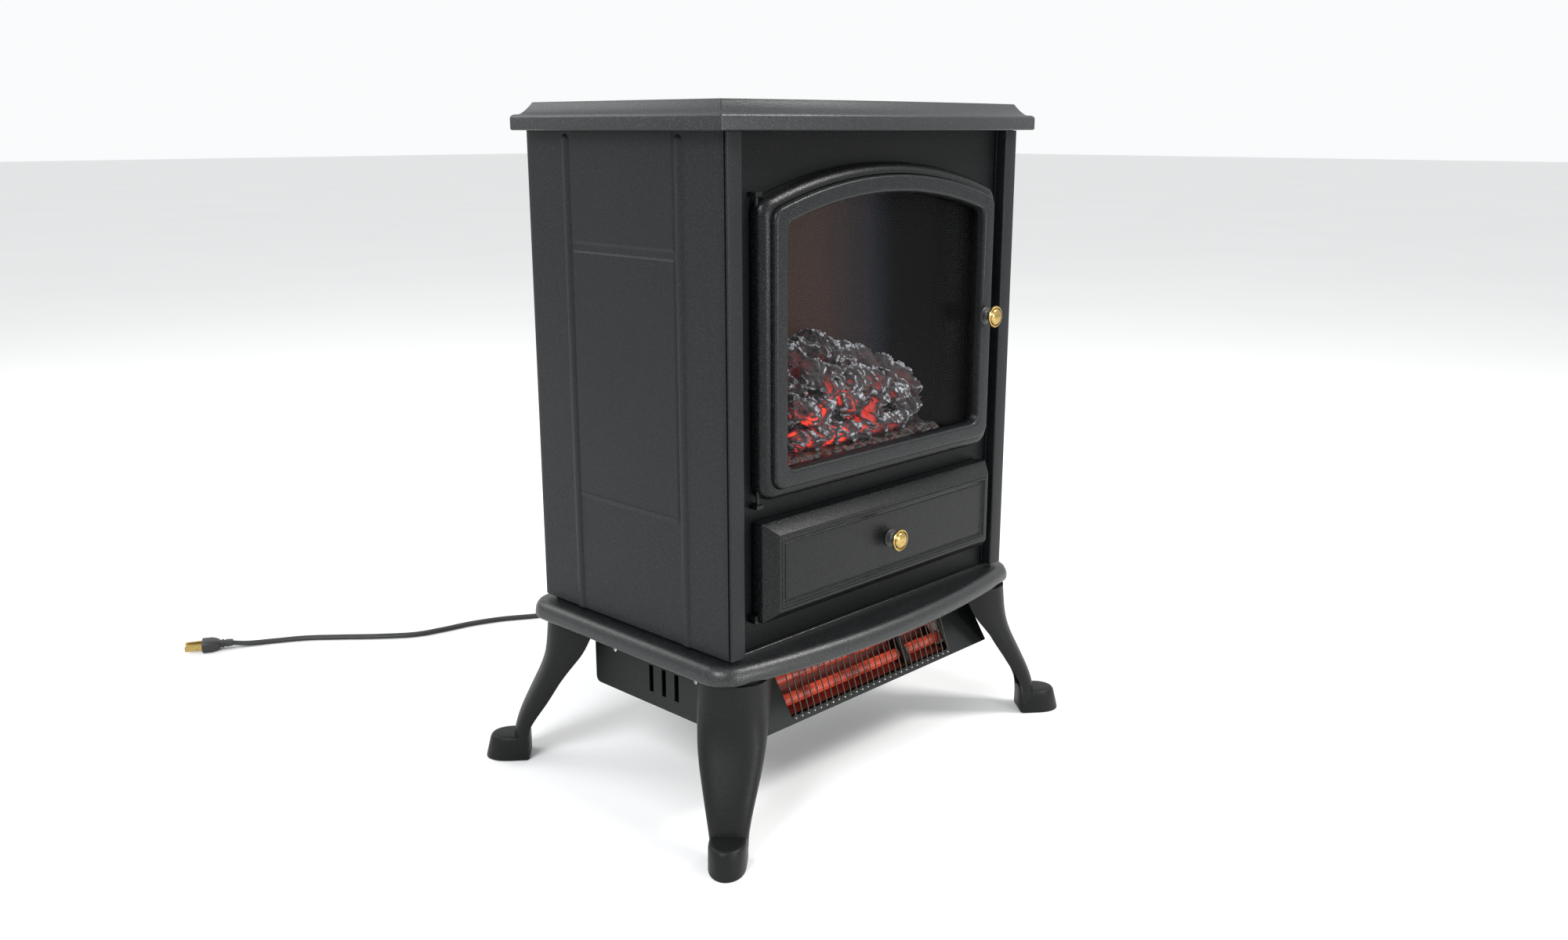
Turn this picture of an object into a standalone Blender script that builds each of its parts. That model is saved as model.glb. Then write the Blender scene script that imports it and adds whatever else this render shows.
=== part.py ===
"""Free-standing electric stove: a panelled steel body on four cast legs, with an arched glass
door over a log effect, a drop-down control flap and a quartz heater slung under the base plate.

Metres, +Z up. The front faces -Y and +X is on the right of someone who looks at the front.
The origin is on the floor, in the middle of the footprint of the four toes.
"""

import math

import bmesh
import bpy
from mathutils import Matrix, Vector

# ---------------------------------------------------------------- driving dimensions (metres)
FIT_GAP = 0.0003          # clearance between pieces that touch

# body
BODY_WIDTH = 0.3472
BODY_DEPTH = 0.2310
BODY_BOTTOM = 0.1490
BODY_TOP = 0.5384
FRONT_Y = -0.1130         # plane of the front faces of the corner posts
SHEET = 0.0012            # thickness of the body panels
POST_SIZE = 0.0156
POST_WALL = 0.0015
POST_GROOVE = 0.0020      # shadow groove between a post and its side panel
FASCIA_SETBACK = 0.0099   # the fascia lies this far behind the fronts of the posts
PANEL_FLANGE = 0.0120

# top plate
TOP_OVERHANG = 0.0137     # past the side panels
TOP_FRONT_OVERHANG = 0.0089
TOP_REAR_OVERHANG = 0.0030
TOP_RIM_HEIGHT = 0.0122
TOP_HEIGHT = 0.0216       # from the underside of the rim to the flat top
TOP_BOW = 0.0150          # how far the middle of the front edge bows out
TOP_SHOULDER = 0.0028
TOP_LEDGE = 0.0050
TOP_INSET = 0.0135        # from the rim to the edge of the flat top
TOP_SKIN = 0.0030

# base plate
BASE_TOP = 0.1456
BASE_SLOPE_HEIGHT = 0.0075
BASE_SLOPE_OUT = 0.0075
BASE_THICKNESS = 0.0156
BASE_OVERHANG = 0.0080    # of the upper edge, past the side panels
BASE_REAR_OVERHANG = 0.0045
BASE_FRONT_OVERHANG = -0.0030    # at the corners, where the posts stand proud of it
BASE_BOW = 0.0225
BASE_CORNER = 0.0160
BASE_WIRE_HOLE = 0.0200
BASE_SKIN = 0.0050

# legs
LEG_CORNER_X = 0.1760     # nose of a leg at its top
LEG_CORNER_Y = 0.1140
TOE_TIP_X = 0.2210
TOE_TIP_Y = 0.1530
LEG_WALL = 0.0032
LEG_TOP_WIDTH = 0.0580
LEG_ANKLE_WIDTH = 0.0310
LEG_TOP_DEPTH = 0.0220
LEG_ANKLE_DEPTH = 0.0135
LEG_SPREAD = 0.0330       # how far the ankle stands out from the top of the leg
ANKLE_HEIGHT = 0.0300
TOE_HEIGHT = 0.0220
TOE_WIDTH = 0.0292
TOE_SLOPE = 0.0055

# door
DOOR_HALF_WIDTH = 0.1425
DOOR_BOTTOM = 0.2675
DOOR_APEX = 0.5150
DOOR_ARCH_RADIUS = 0.4150
DOOR_CORNER = 0.0120
DOOR_FRONT = -0.0040      # measured from FRONT_Y, negative is proud of the posts
DOOR_BACK_GAP = 0.0009
DOOR_BEAD = 0.0085        # width of the outer moulding
TRIM_WIDTH = 0.0150       # width of the raised inner frame
TRIM_FRONT = -0.0087
DOOR_RECESS_FLOOR = 0.0030
GLASS_THICKNESS = 0.0030
GLASS_LAP = 0.0060
DOOR_AXIS_INSET = 0.0025  # of the hinge axis from the side of the door
DOOR_AXIS_Y = 0.0050
HINGE_PIN = 0.0030
HINGE_TAB = 0.0030
HINGE_CLEARANCE = 0.0003
HINGE_ENGAGE = 0.0060

# control flap
FLAP_HALF_WIDTH = 0.1420
FLAP_BOTTOM = 0.1720
FLAP_TOP = 0.2515
FLAP_SHOULDER = -0.0020
FLAP_FRONT = -0.0118
FLAP_BEVEL = 0.0088
FLAP_BACK_GAP = 0.0013
FLAP_WALL = 0.0020
FLAP_AXIS_Y = 0.0045
FLAP_AXIS_RISE = 0.0030
FLAP_BEAD_INSET = 0.0052
FLAP_PANEL_DEPTH = 0.0022

# knobs
KNOB_DIAMETER = 0.0188
KNOB_REACH = 0.0140       # from the face it stands on to the crown of the disc
KNOB_ROSETTE = 0.0150
KNOB_NECK = 0.0060
DOOR_KNOB_INSET = 0.0190  # of its middle from the side of the door
DOOR_KNOB_Z = 0.3840

# firebox and flame effect
FIREBOX_INSET = 0.0115    # of the firebox from the side of the door
FIREBOX_FLOOR = 0.2790
FIREBOX_CEILING = 0.5080
FIREBOX_DEPTH = 0.0505    # from FRONT_Y to the flame screen
SCREEN_THICKNESS = 0.0025
SHELF_DEPTH = 0.1500
SHELF_THICKNESS = 0.0012
LOG_LENGTH = 0.1700
SPINDLE_Y = 0.0780
SPINDLE_Z = 0.3300
SPINDLE_DIAMETER = 0.0050
SPINDLE_LENGTH = 0.2200
FIN_REACH = 0.0120
LAMP_Y = 0.1250
LAMP_X = 0.0700

# controls behind the flap
CONTROL_PLANE = 0.0240
CONTROL_HALF_WIDTH = 0.1340
CONTROL_BOTTOM = 0.1760
CONTROL_TOP = 0.2480
SWITCH_SPACING = 0.0500
SWITCH_WIDTH = 0.0190
SWITCH_HEIGHT = 0.0270
DIAL_DIAMETER = 0.0300
DIAL_HEIGHT = 0.0110

# heater
HEATER_HALF_WIDTH = 0.1566
HEATER_BOTTOM = 0.0750
HEATER_FRONT = 0.0005
HEATER_FRONT_TOP = 0.0365
HEATER_REAR = 0.1870
HEATER_WALL = 0.0012
HEATER_CORNER = 0.0050
GRILLE_HALF_WIDTH = 0.1030
GRILLE_WIRES = 28
GRILLE_WIRE = 0.0013
GRILLE_RAIL = 0.0022
GRILLE_LOW = -0.0262      # along the slanted face, from the middle of the window
GRILLE_HIGH = 0.0250
GRILLE_BELLY = 0.0126
GRILLE_PROUD = 0.0100
VENT_PITCH = 0.0156
VENT_WIDTH = 0.0052
VENT_BOTTOM = 0.0865
VENT_TOP = 0.1100
VENT_MIDDLE_Y = 0.0983
TUBE_DIAMETER = 0.0100
TUBE_HALF_SPACING = 0.0090
TUBE_DEPTH = 0.0120
REFLECTOR_DEPTH = 0.0229
REFLECTOR_SPAN = 0.0210
REFLECTOR_HALF_LENGTH = 0.1090
REFLECTOR_SHEET = 0.0010

# cord
CORD_WIDTH = 0.0080
CORD_EXIT_X = 0.0600
CORD_EXIT_Z = 0.1720
RELIEF_LENGTH = 0.0280
RELIEF_ROOT = 0.0062
RELIEF_TIP = 0.0048
COIL_CENTRE = (0.1120, 0.3120)
COIL_MEAN_RADIUS = 0.0440
COIL_HALF_WIDTH = 0.0090
COIL_HEIGHT = 0.0110
TIE_WIDTH = 0.0100
TIE_SKIN = 0.0016
TIE_LIFT = 0.0008
COIL_BULGE = 0.0006       # room for the bow of the coil within the width of the tie
CORD_LIFT = 0.0042        # centre line above the floor
PLUG_BODY = (0.0260, 0.0200, 0.0120)
BLADE = (0.0170, 0.0015, 0.0063)
BLADE_SPACING = 0.0127

# The route of the cord from the strain relief to the coil, and from the coil to the plug.
LEAD_ROUTE = (
    (0.0600, 0.1480, 0.1720), (0.0602, 0.1620, 0.1700), (0.0608, 0.1780, 0.1590),
    (0.0618, 0.1900, 0.1380), (0.0628, 0.1980, 0.1100), (0.0636, 0.2040, 0.0780),
    (0.0640, 0.2090, 0.0460), (0.0652, 0.2180, 0.0200), (0.0690, 0.2310, 0.0072),
    (0.0760, 0.2430, 0.0045), (0.0880, 0.2520, 0.0045), (0.1020, 0.2547, 0.0048),
)
RUN_ROUTE = (
    (0.1130, 0.3702, 0.0052), (0.0920, 0.3738, 0.0046), (0.0660, 0.3850, 0.0042),
    (0.0400, 0.4010, 0.0042), (0.0162, 0.4098, 0.0042), (-0.0143, 0.4280, 0.0042),
    (-0.0473, 0.4405, 0.0042), (-0.0790, 0.4470, 0.0042), (-0.1083, 0.4560, 0.0042),
    (-0.1393, 0.4800, 0.0042), (-0.1680, 0.5070, 0.0042), (-0.1962, 0.5320, 0.0042),
    (-0.2242, 0.5486, 0.0042), (-0.2480, 0.5600, 0.0050), (-0.2640, 0.5680, 0.0058),
)

# ---------------------------------------------------------------- values worked out from them
DOOR_KNOB_X = DOOR_HALF_WIDTH - DOOR_KNOB_INSET
FIREBOX_HALF_WIDTH = DOOR_HALF_WIDTH - FIREBOX_INSET
REAR_Y = FRONT_Y + BODY_DEPTH
HALF_WIDTH = BODY_WIDTH / 2
PANEL_FRONT_Y = FRONT_Y + FASCIA_SETBACK
INNER_POST_X = HALF_WIDTH - POST_SIZE
TOP_FLAT = BODY_TOP + FIT_GAP + TOP_HEIGHT
BASE_UNDERSIDE = BASE_TOP + FIT_GAP - BASE_THICKNESS
SCREEN_Y = FRONT_Y + FIREBOX_DEPTH
HEATER_TOP = BASE_UNDERSIDE - FIT_GAP

PARTS = None
CUTTERS = None


# ---------------------------------------------------------------- small helpers
def clear_scene():
    """Remove every object that the file starts with."""
    for old in list(bpy.data.objects):
        bpy.data.objects.remove(old, do_unlink=True)


def new_collection(name):
    """Make a collection and link it to the scene."""
    made = bpy.data.collections.new(name)
    bpy.context.scene.collection.children.link(made)
    return made


def material(name, colour, roughness, metallic=0.0):
    """Return a Principled material, made once for each name."""
    made = bpy.data.materials.get(name)
    if made is None:
        made = bpy.data.materials.new(name)
        made.use_nodes = True
        shader = made.node_tree.nodes["Principled BSDF"]
        shader.inputs["Base Color"].default_value = (*colour, 1.0)
        shader.inputs["Roughness"].default_value = roughness
        shader.inputs["Metallic"].default_value = metallic
    return made


def black_enamel():
    return material("black powder coat", (0.030, 0.032, 0.034), 0.48, 0.1)


def cast_iron_finish():
    return material("black cast metal", (0.034, 0.036, 0.038), 0.5, 0.15)


def brass():
    return material("brass", (0.72, 0.55, 0.24), 0.26, 1.0)


def bright_steel():
    return material("bright steel", (0.62, 0.62, 0.60), 0.3, 1.0)


def galvanised():
    return material("galvanised steel", (0.42, 0.43, 0.43), 0.45, 0.9)


def black_plastic():
    return material("black plastic", (0.02, 0.02, 0.02), 0.45)


def flexible_black():
    return material("flexible black", (0.018, 0.018, 0.018), 0.55)


def place(mesh, name, finish, origin=(0, 0, 0), smooth=False):
    """Make an object from a mesh in world coordinates, with its origin at a given point."""
    mesh.transform(Matrix.Translation(-Vector(origin)))
    if smooth:
        mesh.shade_smooth()
        mesh.set_sharp_from_angle(angle=math.radians(35))
    made = bpy.data.objects.new(name, mesh)
    made.location = origin
    made.data.materials.clear()
    made.data.materials.append(finish)
    PARTS.objects.link(made)
    return made


def as_cutter(made):
    """Move an object to the cutters, where it is only a guide."""
    PARTS.objects.unlink(made)
    CUTTERS.objects.link(made)
    made.hide_render = True
    made.display_type = "WIRE"
    return made


def combine(target, tool, operation):
    """Add a Boolean of one object with another, which becomes a cutter."""
    as_cutter(tool)
    step = target.modifiers.new(operation.lower(), "BOOLEAN")
    step.operation = operation
    step.object = tool
    return target


def cut(target, *tools):
    for tool in tools:
        combine(target, tool, "DIFFERENCE")
    return target


def fuse(target, *tools):
    for tool in tools:
        combine(target, tool, "UNION")
    return target


def box_mesh(low, high):
    """Return a box mesh between two corners."""
    shape = bmesh.new()
    bmesh.ops.create_cube(shape, size=1.0)
    size = Vector(high) - Vector(low)
    middle = (Vector(high) + Vector(low)) / 2
    bmesh.ops.scale(shape, vec=size, verts=shape.verts)
    bmesh.ops.translate(shape, vec=middle, verts=shape.verts)
    mesh = bpy.data.meshes.new("box")
    shape.to_mesh(mesh)
    shape.free()
    return mesh


def box(name, low, high, finish, origin=(0, 0, 0), bevel=0.0):
    made = place(box_mesh(low, high), name, finish, origin)
    if bevel:
        add_bevel(made, bevel)
    return made


def add_bevel(made, width, segments=2, angle=40):
    step = made.modifiers.new("bevel", "BEVEL")
    step.width = width
    step.segments = segments
    step.limit_method = "ANGLE"
    step.angle_limit = math.radians(angle)
    return made


def turn_matrix(direction):
    """Return the rotation that takes +Z to a direction."""
    return Vector((0, 0, 1)).rotation_difference(Vector(direction)).to_matrix().to_4x4()


def rod_mesh(start, end, radius, end_radius=None, sides=20):
    """Return a cylinder or cone between two points."""
    start, end = Vector(start), Vector(end)
    shape = bmesh.new()
    bmesh.ops.create_cone(shape, cap_ends=True, segments=sides, radius1=radius,
                          radius2=radius if end_radius is None else end_radius,
                          depth=(end - start).length)
    mesh = bpy.data.meshes.new("rod")
    shape.to_mesh(mesh)
    shape.free()
    mesh.transform(Matrix.Translation((start + end) / 2) @ turn_matrix(end - start))
    return mesh


def rod(name, start, end, radius, finish, end_radius=None, sides=20, origin=(0, 0, 0)):
    return place(rod_mesh(start, end, radius, end_radius, sides), name, finish, origin, smooth=True)


def turned(name, profile, base, direction, finish, steps=28, origin=(0, 0, 0)):
    """Turn a closed (radius, height) profile about an axis from a base point."""
    shape = bmesh.new()
    ring = [shape.verts.new((radius, 0, height)) for radius, height in profile]
    for first, second in zip(ring, ring[1:]):
        shape.edges.new((first, second))
    mesh = bpy.data.meshes.new(name)
    shape.to_mesh(mesh)
    shape.free()
    guide = bpy.data.objects.new(name + "_profile", mesh)
    bpy.context.scene.collection.objects.link(guide)
    screw = guide.modifiers.new("screw", "SCREW")
    screw.steps = steps
    screw.render_steps = steps
    screw.use_merge_vertices = True
    screw.merge_threshold = 0.00001
    full = evaluated_mesh(guide)
    full.transform(Matrix.Translation(Vector(base)) @ turn_matrix(direction))
    return place(full, name, finish, origin, smooth=True)


def evaluated_mesh(guide):
    """Return the welded mesh of an object with its modifiers, and remove the object."""
    graph = bpy.context.evaluated_depsgraph_get()
    mesh = bpy.data.meshes.new_from_object(guide.evaluated_get(graph))
    mesh.transform(guide.matrix_world)
    shape = bmesh.new()
    shape.from_mesh(mesh)
    bmesh.ops.remove_doubles(shape, verts=shape.verts, dist=0.00001)
    bmesh.ops.recalc_face_normals(shape, faces=shape.faces)
    shape.to_mesh(mesh)
    shape.free()
    bpy.data.objects.remove(guide, do_unlink=True)
    return mesh


def flat_mesh(loops, low, high, axis):
    """Return a plate with the given outline loops, from low to high along an axis.

    The loops hold (first, second) pairs: x and y across Z, x and z across Y, y and z across X.
    """
    curve = bpy.data.curves.new("outline", "CURVE")
    curve.dimensions = "2D"
    curve.fill_mode = "BOTH"
    curve.extrude = (high - low) / 2
    for loop in loops:
        spline = curve.splines.new("POLY")
        spline.points.add(len(loop) - 1)
        for point, (first, second) in zip(spline.points, loop):
            point.co = (first, second, 0, 1)
        spline.use_cyclic_u = True
    guide = bpy.data.objects.new("outline", curve)
    bpy.context.scene.collection.objects.link(guide)
    mesh = evaluated_mesh(guide)
    middle = (low + high) / 2
    turns = {
        "z": Matrix.Translation((0, 0, middle)),
        "y": Matrix.Translation((0, middle, 0)) @ Matrix.Rotation(math.pi / 2, 4, "X"),
        "x": Matrix.Translation((middle, 0, 0)) @ Matrix(((0, 0, 1, 0), (1, 0, 0, 0),
                                                         (0, 1, 0, 0), (0, 0, 0, 1))),
    }
    mesh.transform(turns[axis])
    return mesh


def plate(name, loops, low, high, axis, finish, origin=(0, 0, 0)):
    return place(flat_mesh(loops, low, high, axis), name, finish, origin)


def rectangle(first_low, first_high, second_low, second_high):
    return [(first_low, second_low), (first_high, second_low), (first_high, second_high),
            (first_low, second_high)]


def rounded(points, radii, steps=5):
    """Round the corners of a counter-clockwise outline with arcs of the given radii."""
    outline = []
    for index, (point, radius) in enumerate(zip(points, radii)):
        corner = Vector(point)
        if radius <= 0:
            outline.append(tuple(corner))
            continue
        before = (Vector(points[index - 1]) - corner).normalized()
        after = (Vector(points[(index + 1) % len(points)]) - corner).normalized()
        half_angle = before.angle(after) / 2
        start = corner + before * radius / math.tan(half_angle)
        centre = corner + (before + after).normalized() * radius / math.sin(half_angle)
        sweep = math.pi - 2 * half_angle
        arm = start - centre
        turn = 1 if before.x * after.y - before.y * after.x < 0 else -1
        for step in range(steps + 1):
            angle = turn * sweep * step / steps
            outline.append((centre.x + arm.x * math.cos(angle) - arm.y * math.sin(angle),
                            centre.y + arm.x * math.sin(angle) + arm.y * math.cos(angle)))
    return outline


def arch(inset, corner, steps=12):
    """Return the arched outline of the door, moved inwards by an inset."""
    half = DOOR_HALF_WIDTH - inset
    bottom = DOOR_BOTTOM + inset
    radius = DOOR_ARCH_RADIUS - inset
    centre = DOOR_APEX - DOOR_ARCH_RADIUS
    reach = math.asin(half / radius)
    points = [(-half, bottom), (half, bottom)]
    for step in range(steps + 1):
        angle = reach * (1 - 2 * step / steps)
        points.append((radius * math.sin(angle), centre + radius * math.cos(angle)))
    radii = [corner, corner, corner * 0.8] + [0] * (steps - 1) + [corner * 0.8]
    return rounded(points, radii)


def bowed(half_x, front, rear, bow, corner, steps=14):
    """Return an outline with a straight rear and sides and a front that bows out."""
    points = [(half_x, rear), (-half_x, rear)]
    for step in range(steps + 1):
        share = 2 * step / steps - 1
        points.append((half_x * share, front - bow * (1 - share * share)))
    radii = [corner, corner, corner] + [0] * (steps - 1) + [corner]
    return rounded(points, radii)


def loft(name, sections, finish, origin=(0, 0, 0), smooth=False, closed=False):
    """Join like sections of points into one closed body with flat end caps."""
    shape = bmesh.new()
    rings = [[shape.verts.new(point) for point in section] for section in sections]
    count = len(rings[0])
    pairs = list(zip(rings, rings[1:]))
    if closed:
        pairs.append((rings[-1], rings[0]))
    for lower, upper in pairs:
        for index in range(count):
            following = (index + 1) % count
            shape.faces.new((lower[index], lower[following], upper[following], upper[index]))
    if not closed:
        shape.faces.new(rings[0])
        shape.faces.new(rings[-1])
    bmesh.ops.recalc_face_normals(shape, faces=shape.faces)
    mesh = bpy.data.meshes.new(name)
    shape.to_mesh(mesh)
    shape.free()
    return place(mesh, name, finish, origin, smooth)


def at_height(outline, height):
    return [(x, y, height) for x, y in outline]


def smooth_route(points, spacing):
    """Read evenly spaced points from a smooth curve through hand-placed ones."""
    knots = [Vector(point) for point in points]
    knots = [2 * knots[0] - knots[1]] + knots + [2 * knots[-1] - knots[-2]]
    dense = []
    for before, start, end, after in zip(knots, knots[1:], knots[2:], knots[3:]):
        for step in range(16):
            t = step / 16
            dense.append(0.5 * (2 * start + (end - before) * t
                                + (2 * before - 5 * start + 4 * end - after) * t * t
                                + (3 * start - before - 3 * end + after) * t ** 3))
    dense.append(knots[-2])
    total = sum((second - first).length for first, second in zip(dense, dense[1:]))
    count = max(2, round(total / spacing))
    even = [dense[0]]
    walked = 0.0
    for first, second in zip(dense, dense[1:]):
        length = (second - first).length
        while len(even) < count and walked + length >= total * len(even) / count:
            even.append(first.lerp(second, (total * len(even) / count - walked) / length))
        walked += length
    even.append(dense[-1])
    return even


def cord_tube(name, points, diameter, finish):
    """Make a round tube along a route."""
    curve = bpy.data.curves.new(name, "CURVE")
    curve.dimensions = "3D"
    curve.bevel_depth = diameter / 2
    curve.bevel_resolution = 2
    curve.use_fill_caps = True
    spline = curve.splines.new("POLY")
    spline.points.add(len(points) - 1)
    for target, point in zip(spline.points, points):
        target.co = (*point, 1)
    guide = bpy.data.objects.new(name, curve)
    bpy.context.scene.collection.objects.link(guide)
    return place(evaluated_mesh(guide), name, finish, smooth=True)


# ---------------------------------------------------------------- body
def corner_post(name, side):
    """A square tube at a front corner, stepped back where the side panel laps it."""
    outer = HALF_WIDTH - FIT_GAP
    lapped = HALF_WIDTH - SHEET - FIT_GAP
    rear = FRONT_Y + POST_SIZE
    outline = [(INNER_POST_X, FRONT_Y), (outer, FRONT_Y), (outer, FRONT_Y + POST_GROOVE / 2),
               (lapped, FRONT_Y + POST_GROOVE / 2), (lapped, rear), (INNER_POST_X, rear)]
    radii = [0.0012, 0.0004, 0, 0, 0.0012, 0.0012]
    bore = rectangle(INNER_POST_X + POST_WALL, lapped - POST_WALL,
                     FRONT_Y + POST_WALL, rear - POST_WALL)
    outline = [(side * x, y) for x, y in rounded(outline, radii, 3)]
    bore = [(side * x, y) for x, y in bore]
    return plate(name, [outline, bore], BODY_BOTTOM, BODY_TOP, "z", black_enamel())


def side_panel(name, side):
    """A side sheet with a flange at the rear."""
    front = FRONT_Y + POST_GROOVE + FIT_GAP * 4
    rear = REAR_Y
    inner = HALF_WIDTH - SHEET
    outline = [(inner, front), (HALF_WIDTH, front), (HALF_WIDTH, rear),
               (HALF_WIDTH - PANEL_FLANGE, rear), (HALF_WIDTH - PANEL_FLANGE, rear - SHEET),
               (inner, rear - SHEET)]
    outline = [(side * x, y) for x, y in outline]
    return plate(name, [outline], BODY_BOTTOM, BODY_TOP, "z", black_enamel())


def back_panel():
    """The rear sheet, inside the flanges, with rows of vents and the hole for the cord."""
    half = HALF_WIDTH - SHEET - FIT_GAP
    rear = REAR_Y - SHEET - FIT_GAP
    loops = [rectangle(-half, half, BODY_BOTTOM, BODY_TOP)]
    slot_length, slot_height, pitch = 0.062, 0.0048, 0.0120
    for column in (-1, 1):
        middle = column * 0.060
        for row in range(6):
            low = BODY_TOP - 0.040 - row * pitch
            loops.append(rectangle(middle - slot_length / 2, middle + slot_length / 2,
                                   low - slot_height, low))
    panel = plate("back_panel", loops, rear - SHEET, rear, "y", black_enamel())
    hole = rod("cord_hole", (CORD_EXIT_X, rear - 0.01, CORD_EXIT_Z),
               (CORD_EXIT_X, rear + 0.01, CORD_EXIT_Z), RELIEF_ROOT + FIT_GAP, black_enamel())
    return cut(panel, hole)


def fascia_panel():
    """The flat front sheet between the posts, open behind the door and behind the flap."""
    half = INNER_POST_X - FIT_GAP
    flap_hole = rounded(rectangle(-CONTROL_HALF_WIDTH, CONTROL_HALF_WIDTH,
                                  FLAP_BOTTOM + 0.006, FLAP_TOP - 0.006), [0.004] * 4, 3)
    loops = [rectangle(-half, half, BODY_BOTTOM, BODY_TOP),
             arch(0.0125, 0.010), flap_hole]
    return plate("fascia_panel", loops, PANEL_FRONT_Y, PANEL_FRONT_Y + SHEET, "y", black_enamel())


def top_plate():
    """The top: a square rim, a small ledge and a cove that rises to the flat."""
    low = BODY_TOP + FIT_GAP
    front = FRONT_Y - TOP_FRONT_OVERHANG
    rear = REAR_Y + TOP_REAR_OVERHANG
    half = HALF_WIDTH + TOP_OVERHANG

    def ring(inset, rise):
        return at_height(bowed(half - inset, front + inset, rear - inset, TOP_BOW, 0.002), low + rise)

    rim_top = TOP_RIM_HEIGHT
    rings = [ring(0, 0), ring(0, rim_top - TOP_SHOULDER),
             ring(TOP_SHOULDER * 0.3, rim_top - TOP_SHOULDER * 0.3), ring(TOP_SHOULDER, rim_top),
             ring(TOP_LEDGE, rim_top + 0.0006), ring(TOP_LEDGE + 0.0040, rim_top + 0.0034),
             ring(TOP_INSET - 0.0012, TOP_HEIGHT - 0.0012), ring(TOP_INSET, TOP_HEIGHT)]
    top = loft("top_plate", rings, black_enamel())
    pocket_half = INNER_POST_X - 0.002
    pocket = box("top_pocket", (-pocket_half, FRONT_Y + 0.020, low - 0.01),
                 (pocket_half, REAR_Y - 0.012, low + TOP_HEIGHT - TOP_SKIN), black_enamel())
    return cut(top, pocket)


def base_plate():
    """The bowed plate that the body stands on, with a raised land under the body."""
    front = FRONT_Y - BASE_FRONT_OVERHANG
    rear = REAR_Y + BASE_REAR_OVERHANG
    half = HALF_WIDTH + BASE_OVERHANG

    def ring(outset, height):
        outline = bowed(half + outset, front - outset, rear + outset, BASE_BOW, BASE_CORNER + outset)
        return at_height(outline, height)

    out = BASE_SLOPE_OUT
    shoulder = BASE_TOP - BASE_SLOPE_HEIGHT
    rings = [ring(out - 0.0030, BASE_UNDERSIDE), ring(out - 0.0008, BASE_UNDERSIDE + 0.0010),
             ring(out, BASE_UNDERSIDE + 0.0032), ring(out, shoulder - 0.0006),
             ring(out - 0.0006, shoulder + 0.0006), ring(0.0006, BASE_TOP - 0.0005),
             ring(-0.0006, BASE_TOP)]
    base = loft("base_plate", rings, cast_iron_finish())
    land = box("base_land", (-HALF_WIDTH + 0.006, FRONT_Y + 0.006, BASE_TOP - 0.004),
               (HALF_WIDTH - 0.006, REAR_Y - 0.006, BODY_BOTTOM - FIT_GAP), cast_iron_finish())
    pocket = box("base_pocket", (-HALF_WIDTH + 0.024, FRONT_Y + 0.040, BASE_UNDERSIDE - 0.01),
                 (HALF_WIDTH - 0.024, REAR_Y - 0.045, BODY_BOTTOM - BASE_SKIN), cast_iron_finish())
    hole_y = FRONT_Y + BODY_DEPTH * 0.6
    wire_hole = box("base_wire_hole", (-BASE_WIRE_HOLE, hole_y - BASE_WIRE_HOLE / 2, BASE_UNDERSIDE - 0.01),
                    (BASE_WIRE_HOLE, hole_y + BASE_WIRE_HOLE / 2, BODY_BOTTOM + 0.01), cast_iron_finish())
    return cut(fuse(base, land), pocket, wire_hole)


# ---------------------------------------------------------------- legs
def ease(value):
    """Rise smoothly from 0 to 1."""
    value = min(1.0, max(0.0, value))
    return value * value * (3 - 2 * value)


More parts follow.
